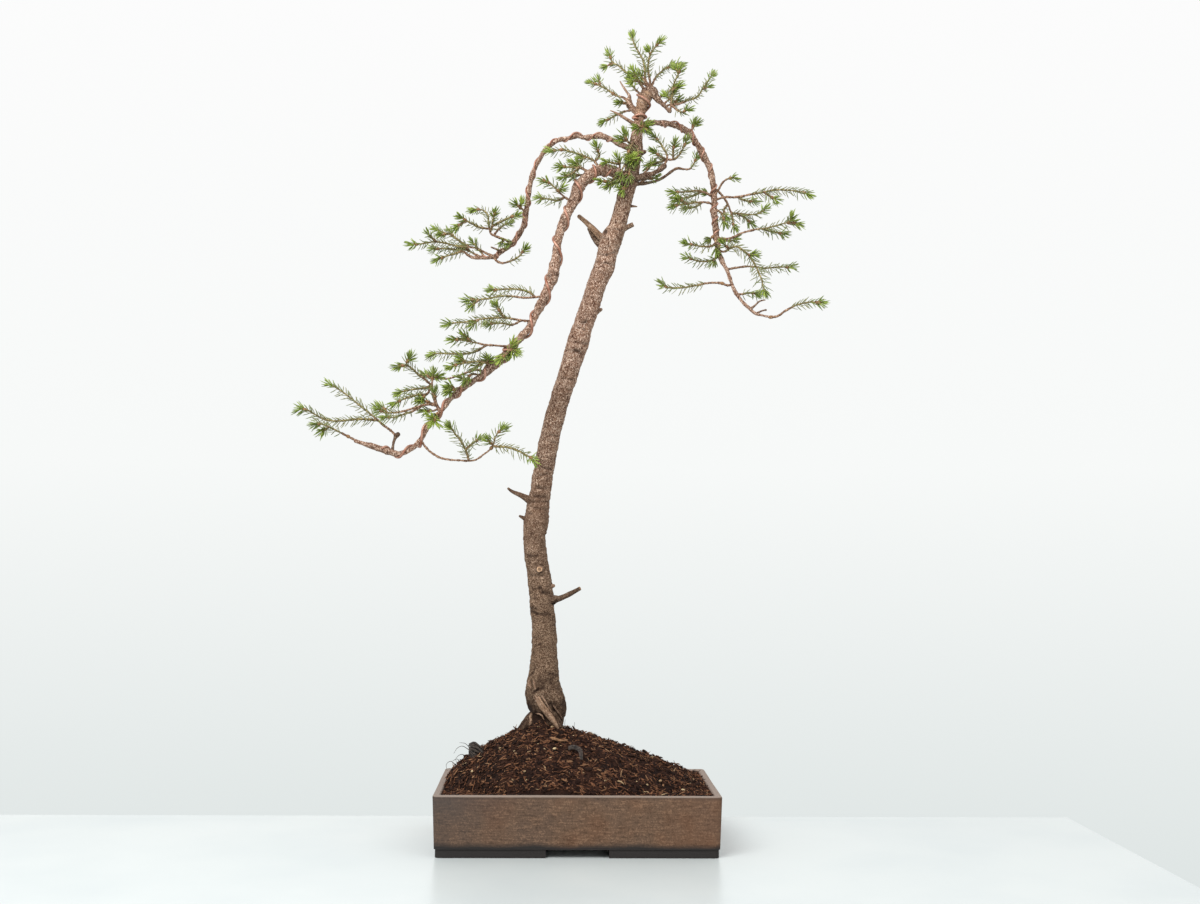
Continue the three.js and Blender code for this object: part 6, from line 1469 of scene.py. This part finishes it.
class MakePot(bpy.types.Operator):
    """Stoneware pot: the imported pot's shape, cut every 9 to 11 mm so that its walls and rim can waver by
    half a millimetre as hand-built ones do, with its edges softly rounded"""

    bl_idname = "bonsai.make_pot"
    bl_label = "Stoneware pot"

    def execute(self, context):
        look = context.scene.bonsai_pot
        shape = bmesh.new()
        shape.from_mesh(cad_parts["pot"].data)
        bmesh.ops.remove_doubles(shape, verts=shape.verts, dist=2e-6)
        bmesh.ops.dissolve_limit(shape, angle_limit=math.radians(1), verts=shape.verts, edges=shape.edges)
        for axis, step in ((0, 9.0), (1, 9.0), (2, 11.0)):
            normal = Vector([float(i == axis) for i in range(3)])
            for place in np.arange(POT_LOW[axis] + step * 0.6, POT_HIGH[axis] - 2, step):
                everything = [*shape.verts, *shape.edges, *shape.faces]
                bmesh.ops.bisect_plane(
                    shape, geom=everything, dist=1e-6, plane_co=normal * place * MM, plane_no=normal)
        mesh = bpy.data.meshes.new("stoneware_pot")
        shape.to_mesh(mesh)
        shape.free()
        corners = np.zeros(len(mesh.vertices) * 3)
        mesh.vertices.foreach_get("co", corners)
        corners = corners.reshape(-1, 3) / MM
        above = np.clip(corners[:, 2] / POT["height"], 0, 1)[:, None] ** 2
        drift = np.stack([clouds(corners / 70, 90 + axis, 2) for axis in range(3)], -1) * (0.45, 0.45, 0.5)
        mesh.vertices.foreach_set("co", ((corners + drift * above) * MM).ravel())
        mesh.materials.clear()
        mesh.materials.append(stoneware_material(look))
        mesh.polygons.foreach_set("material_index", np.zeros(len(mesh.polygons), np.int32))
        mesh.polygons.foreach_set("use_smooth", np.ones(len(mesh.polygons), bool))
        piece = bpy.data.objects.new("stoneware_pot", mesh)
        rounding = piece.modifiers.new("rounded edges", "BEVEL")
        rounding.width = look.edge
        rounding.segments = 3
        rounding.limit_method = "ANGLE"
        rounding.angle_limit = math.radians(35)
        rounding.harden_normals = True
        dress(piece, ["pot"])
        return {"FINISHED"}


class MakeScreens(bpy.types.Operator):
    """Drain screens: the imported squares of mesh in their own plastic"""

    bl_idname = "bonsai.make_screens"
    bl_label = "Drain screens"

    def execute(self, context):
        plastic = mesh_material()
        for name in ("drain_screen_left", "drain_screen_right"):
            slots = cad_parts[name].data.materials
            if not slots:
                raise RuntimeError(f"{name} has no material slot")
            for i in range(len(slots)):
                slots[i] = plastic
        return {"FINISHED"}


class MakeSoil(bpy.types.Operator):
    """Soil: the mound of mix with its crumbs, and shreds of bark and grit on it"""

    bl_idname = "bonsai.make_soil"
    bl_label = "Soil"

    def execute(self, context):
        look = context.scene.bonsai_pot
        mix = soil_material(look)
        mound = Heap("tone")
        soil_skin(mound, look.soil_grid / MM)
        mound.piece("soil_mound", "bark_soil", [mix], ["soil"])
        draw = np.random.default_rng(5)
        dark, middling, red, tan = 0.15, 0.45, 0.75, 0.9
        fibres = Heap("tone")
        tones = [dark, middling, middling, red, red]
        litter(fibres, draw, look.shreds, (2.0, 11.0), (0.6, 1.3), (0.2, 1.8), 22, tones)
        fibres.piece("soil_fibres", "bark_soil", [mix], smooth_faces=False)
        shreds = Heap("tone")
        tones = [dark, dark, middling, red]
        litter(shreds, draw, look.shreds * 2 // 5, (2.5, 9.0), (1.2, 2.6), (0.2, 1.6), 26, tones)
        tones = [0.05, dark, middling]
        litter(shreds, draw, look.shreds // 14, (4.0, 8.0), (2.8, 5.0), (0.3, 1.6), 20, tones)
        litter(shreds, draw, look.shreds // 140, (2.0, 5.0), (0.8, 1.6), (1.0, 1.8), 20, [0.8, 0.8, tan, 1.0])
        shreds.piece("soil_shreds", "bark_soil", [mix], smooth_faces=False)
        return {"FINISHED"}


class MakeRoots(bpy.types.Operator):
    """Loose roots, a tan sliver and small stones that lie on the soil"""

    bl_idname = "bonsai.make_roots"
    bl_label = "Loose roots and stones"

    def execute(self, context):
        draw = np.random.default_rng(8)
        roots = Heap("tone")
        root_bundle(roots, draw)
        loose_hairs(roots)
        roots.piece("loose_roots", "bark_soil", [root_material()])
        stones = Heap("tone")
        sliver_and_pebbles(stones, draw)
        stones.piece("sliver_and_stones", "bark_soil", [soil_material(context.scene.bonsai_pot)])
        return {"FINISHED"}


class MakeWood(bpy.types.Operator):
    """Wood: trunk, roots, branches and stubs with their bark"""

    bl_idname = "bonsai.make_wood"
    bl_label = "Wood"

    def execute(self, context):
        look = context.scene.bonsai_tree
        wood = Heap("seam", "young", "cut")
        for number, (name, points) in enumerate(LIMBS.items()):
            limb_skin(wood, name, points, look.bark_depth, number)
        wood.piece("spruce_wood", "bark", [bark_material(look)], ["wood"])
        strips = Heap("seam", "young", "cut")
        for number, (bare, dark, points) in enumerate(STRIPS):
            laid_strip(strips, line_of("trunk"), bare, dark, points, number)
        strips.piece("root_bark_strips", "bark", [bark_material(look)])
        return {"FINISHED"}


class MakeWires(bpy.types.Operator):
    """Copper wires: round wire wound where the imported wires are"""

    bl_idname = "bonsai.make_wires"
    bl_label = "Copper wires"

    def execute(self, context):
        copper = copper_material(context.scene.bonsai_tree)
        for name, (limb, width, hand, passes) in WIRES.items():
            wire = Heap()
            wire_skin(wire, name, line_of(limb), width, hand, passes)
            wire.piece(f"{name}_round", "copper", [copper], [name])
        return {"FINISHED"}


class MakeSprays(bpy.types.Operator):
    """Sprays: shoots, needles and buds, one piece for each packed spray"""

    bl_idname = "bonsai.make_sprays"
    bl_label = "Sprays of needles"

    def execute(self, context):
        look = context.scene.bonsai_tree
        finishes = [needle_material(look), twig_material(look), bud_material()]
        limbs = {name: line_of(name) for name in LIMBS}
        stations = [limb.at(np.arange(0, limb.length, 3.0)) for limb in limbs.values()]
        wood = np.concatenate([s[0] for s in stations]), np.concatenate([s[4] for s in stations])
        plans = {name: plan_spray(limbs, limb, twigs) for name, (limb, twigs) in GROWTH.items()}
        ends = [
            (name, line, line.length - NEEDLE_REACH)
            for name, plan in plans.items() if name.startswith("spray_") for line, _, _ in plan]
        bearers = [
            min((line.nearest(x, z, 0, end)[::-1], name, line) for name, line, end in ends)
            for x, z in BUDS]
        for number, (name, plan) in enumerate(plans.items()):
            draw = np.random.default_rng(100 + number)
            size = SIZES.get(name, SIZES.get(GROWTH[name][0], 1.0))
            spray = Heap("fresh")
            for line, _, begin in plan:
                grow_twig(spray, draw, line, begin, wood, size, TINTS.get(name, 0.0), look)
            for (_, along), bearer, line in bearers:
                if bearer == name:
                    bud(spray, line, along, 1.9, 5.2)
            spray.piece(f"{name}_needles", "needles", finishes, [name] if name.startswith("spray_") else [])
        return {"FINISHED"}


class MakeStage(bpy.types.Operator):
    """Stage: pale table, white surroundings and two large soft lamps"""

    bl_idname = "bonsai.make_stage"
    bl_label = "Stage"

    def execute(self, context):
        look = context.scene.bonsai_stage
        scene = context.scene
        scene.view_settings.view_transform = "Standard"
        scene.world = white_air(look)
        slab = table_slab(look)
        scene.collection.objects.link(slab)
        for name, (size, place) in LAMPS.items():
            scene.collection.objects.link(soft_lamp(f"{name}_lamp", getattr(look, name), size, place))
        return {"FINISHED"}


class MakeCamera(bpy.types.Operator):
    """Camera: the photograph's eye, turned 2 degrees right and 3.6 degrees up, with a 43.5 mm lens"""

    bl_idname = "bonsai.make_camera"
    bl_label = "Camera"

    def execute(self, context):
        ahead = Vector((math.sin(YAW) * math.cos(PITCH), math.cos(YAW) * math.cos(PITCH), math.sin(PITCH)))
        level = Vector((math.cos(YAW), -math.sin(YAW), 0))
        above = level.cross(ahead)
        right = math.cos(ROLL) * level + math.sin(ROLL) * above
        up = math.cos(ROLL) * above - math.sin(ROLL) * level
        lens = bpy.data.cameras.new("eye")
        lens.lens, lens.sensor_width = LENS, SENSOR
        camera = bpy.data.objects.new("eye", lens)
        turned = Matrix((right, up, -ahead)).transposed().to_4x4()
        camera.matrix_world = Matrix.Translation(Vector((EYE + MIDDLE) * MM)) @ turned
        context.scene.collection.objects.link(camera)
        context.scene.camera = camera
        return {"FINISHED"}


MAKERS = (MakeCamera, MakePot, MakeScreens, MakeSoil, MakeRoots, MakeWood, MakeWires, MakeSprays, MakeStage)
LOOKS_OF = {"bonsai_tree": BonsaiTreeLook, "bonsai_pot": BonsaiPotLook, "bonsai_stage": BonsaiStageLook}


class BonsaiPanel(bpy.types.Panel):
    """Lists the bonsai's pieces and what can be changed"""

    bl_idname = "VIEW3D_PT_bonsai"
    bl_label = "Spruce bonsai"
    bl_space_type = "VIEW_3D"
    bl_region_type = "UI"
    bl_category = "Bonsai"

    def draw(self, context):
        for maker in MAKERS:
            self.layout.operator(maker.bl_idname)
        for key, group in LOOKS_OF.items():
            box = self.layout.box()
            for name in group.__annotations__:
                box.prop(getattr(context.scene, key), name)


def register():
    """Adds the groups of looks, the makers and the panel, and puts the looks on the scene."""
    for made in (*LOOKS_OF.values(), *MAKERS, BonsaiPanel):
        bpy.utils.register_class(made)
    for key, group in LOOKS_OF.items():
        setattr(bpy.types.Scene, key, bpy.props.PointerProperty(type=group))


def unregister():
    """Takes away all that register adds."""
    for key in LOOKS_OF:
        delattr(bpy.types.Scene, key)
    for made in reversed((*LOOKS_OF.values(), *MAKERS, BonsaiPanel)):
        bpy.utils.unregister_class(made)


def main():
    """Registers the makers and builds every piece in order."""
    register()
    for maker in MAKERS:
        group, name = maker.bl_idname.split(".")
        getattr(getattr(bpy.ops, group), name)()


if __name__ == "__main__":
    main()
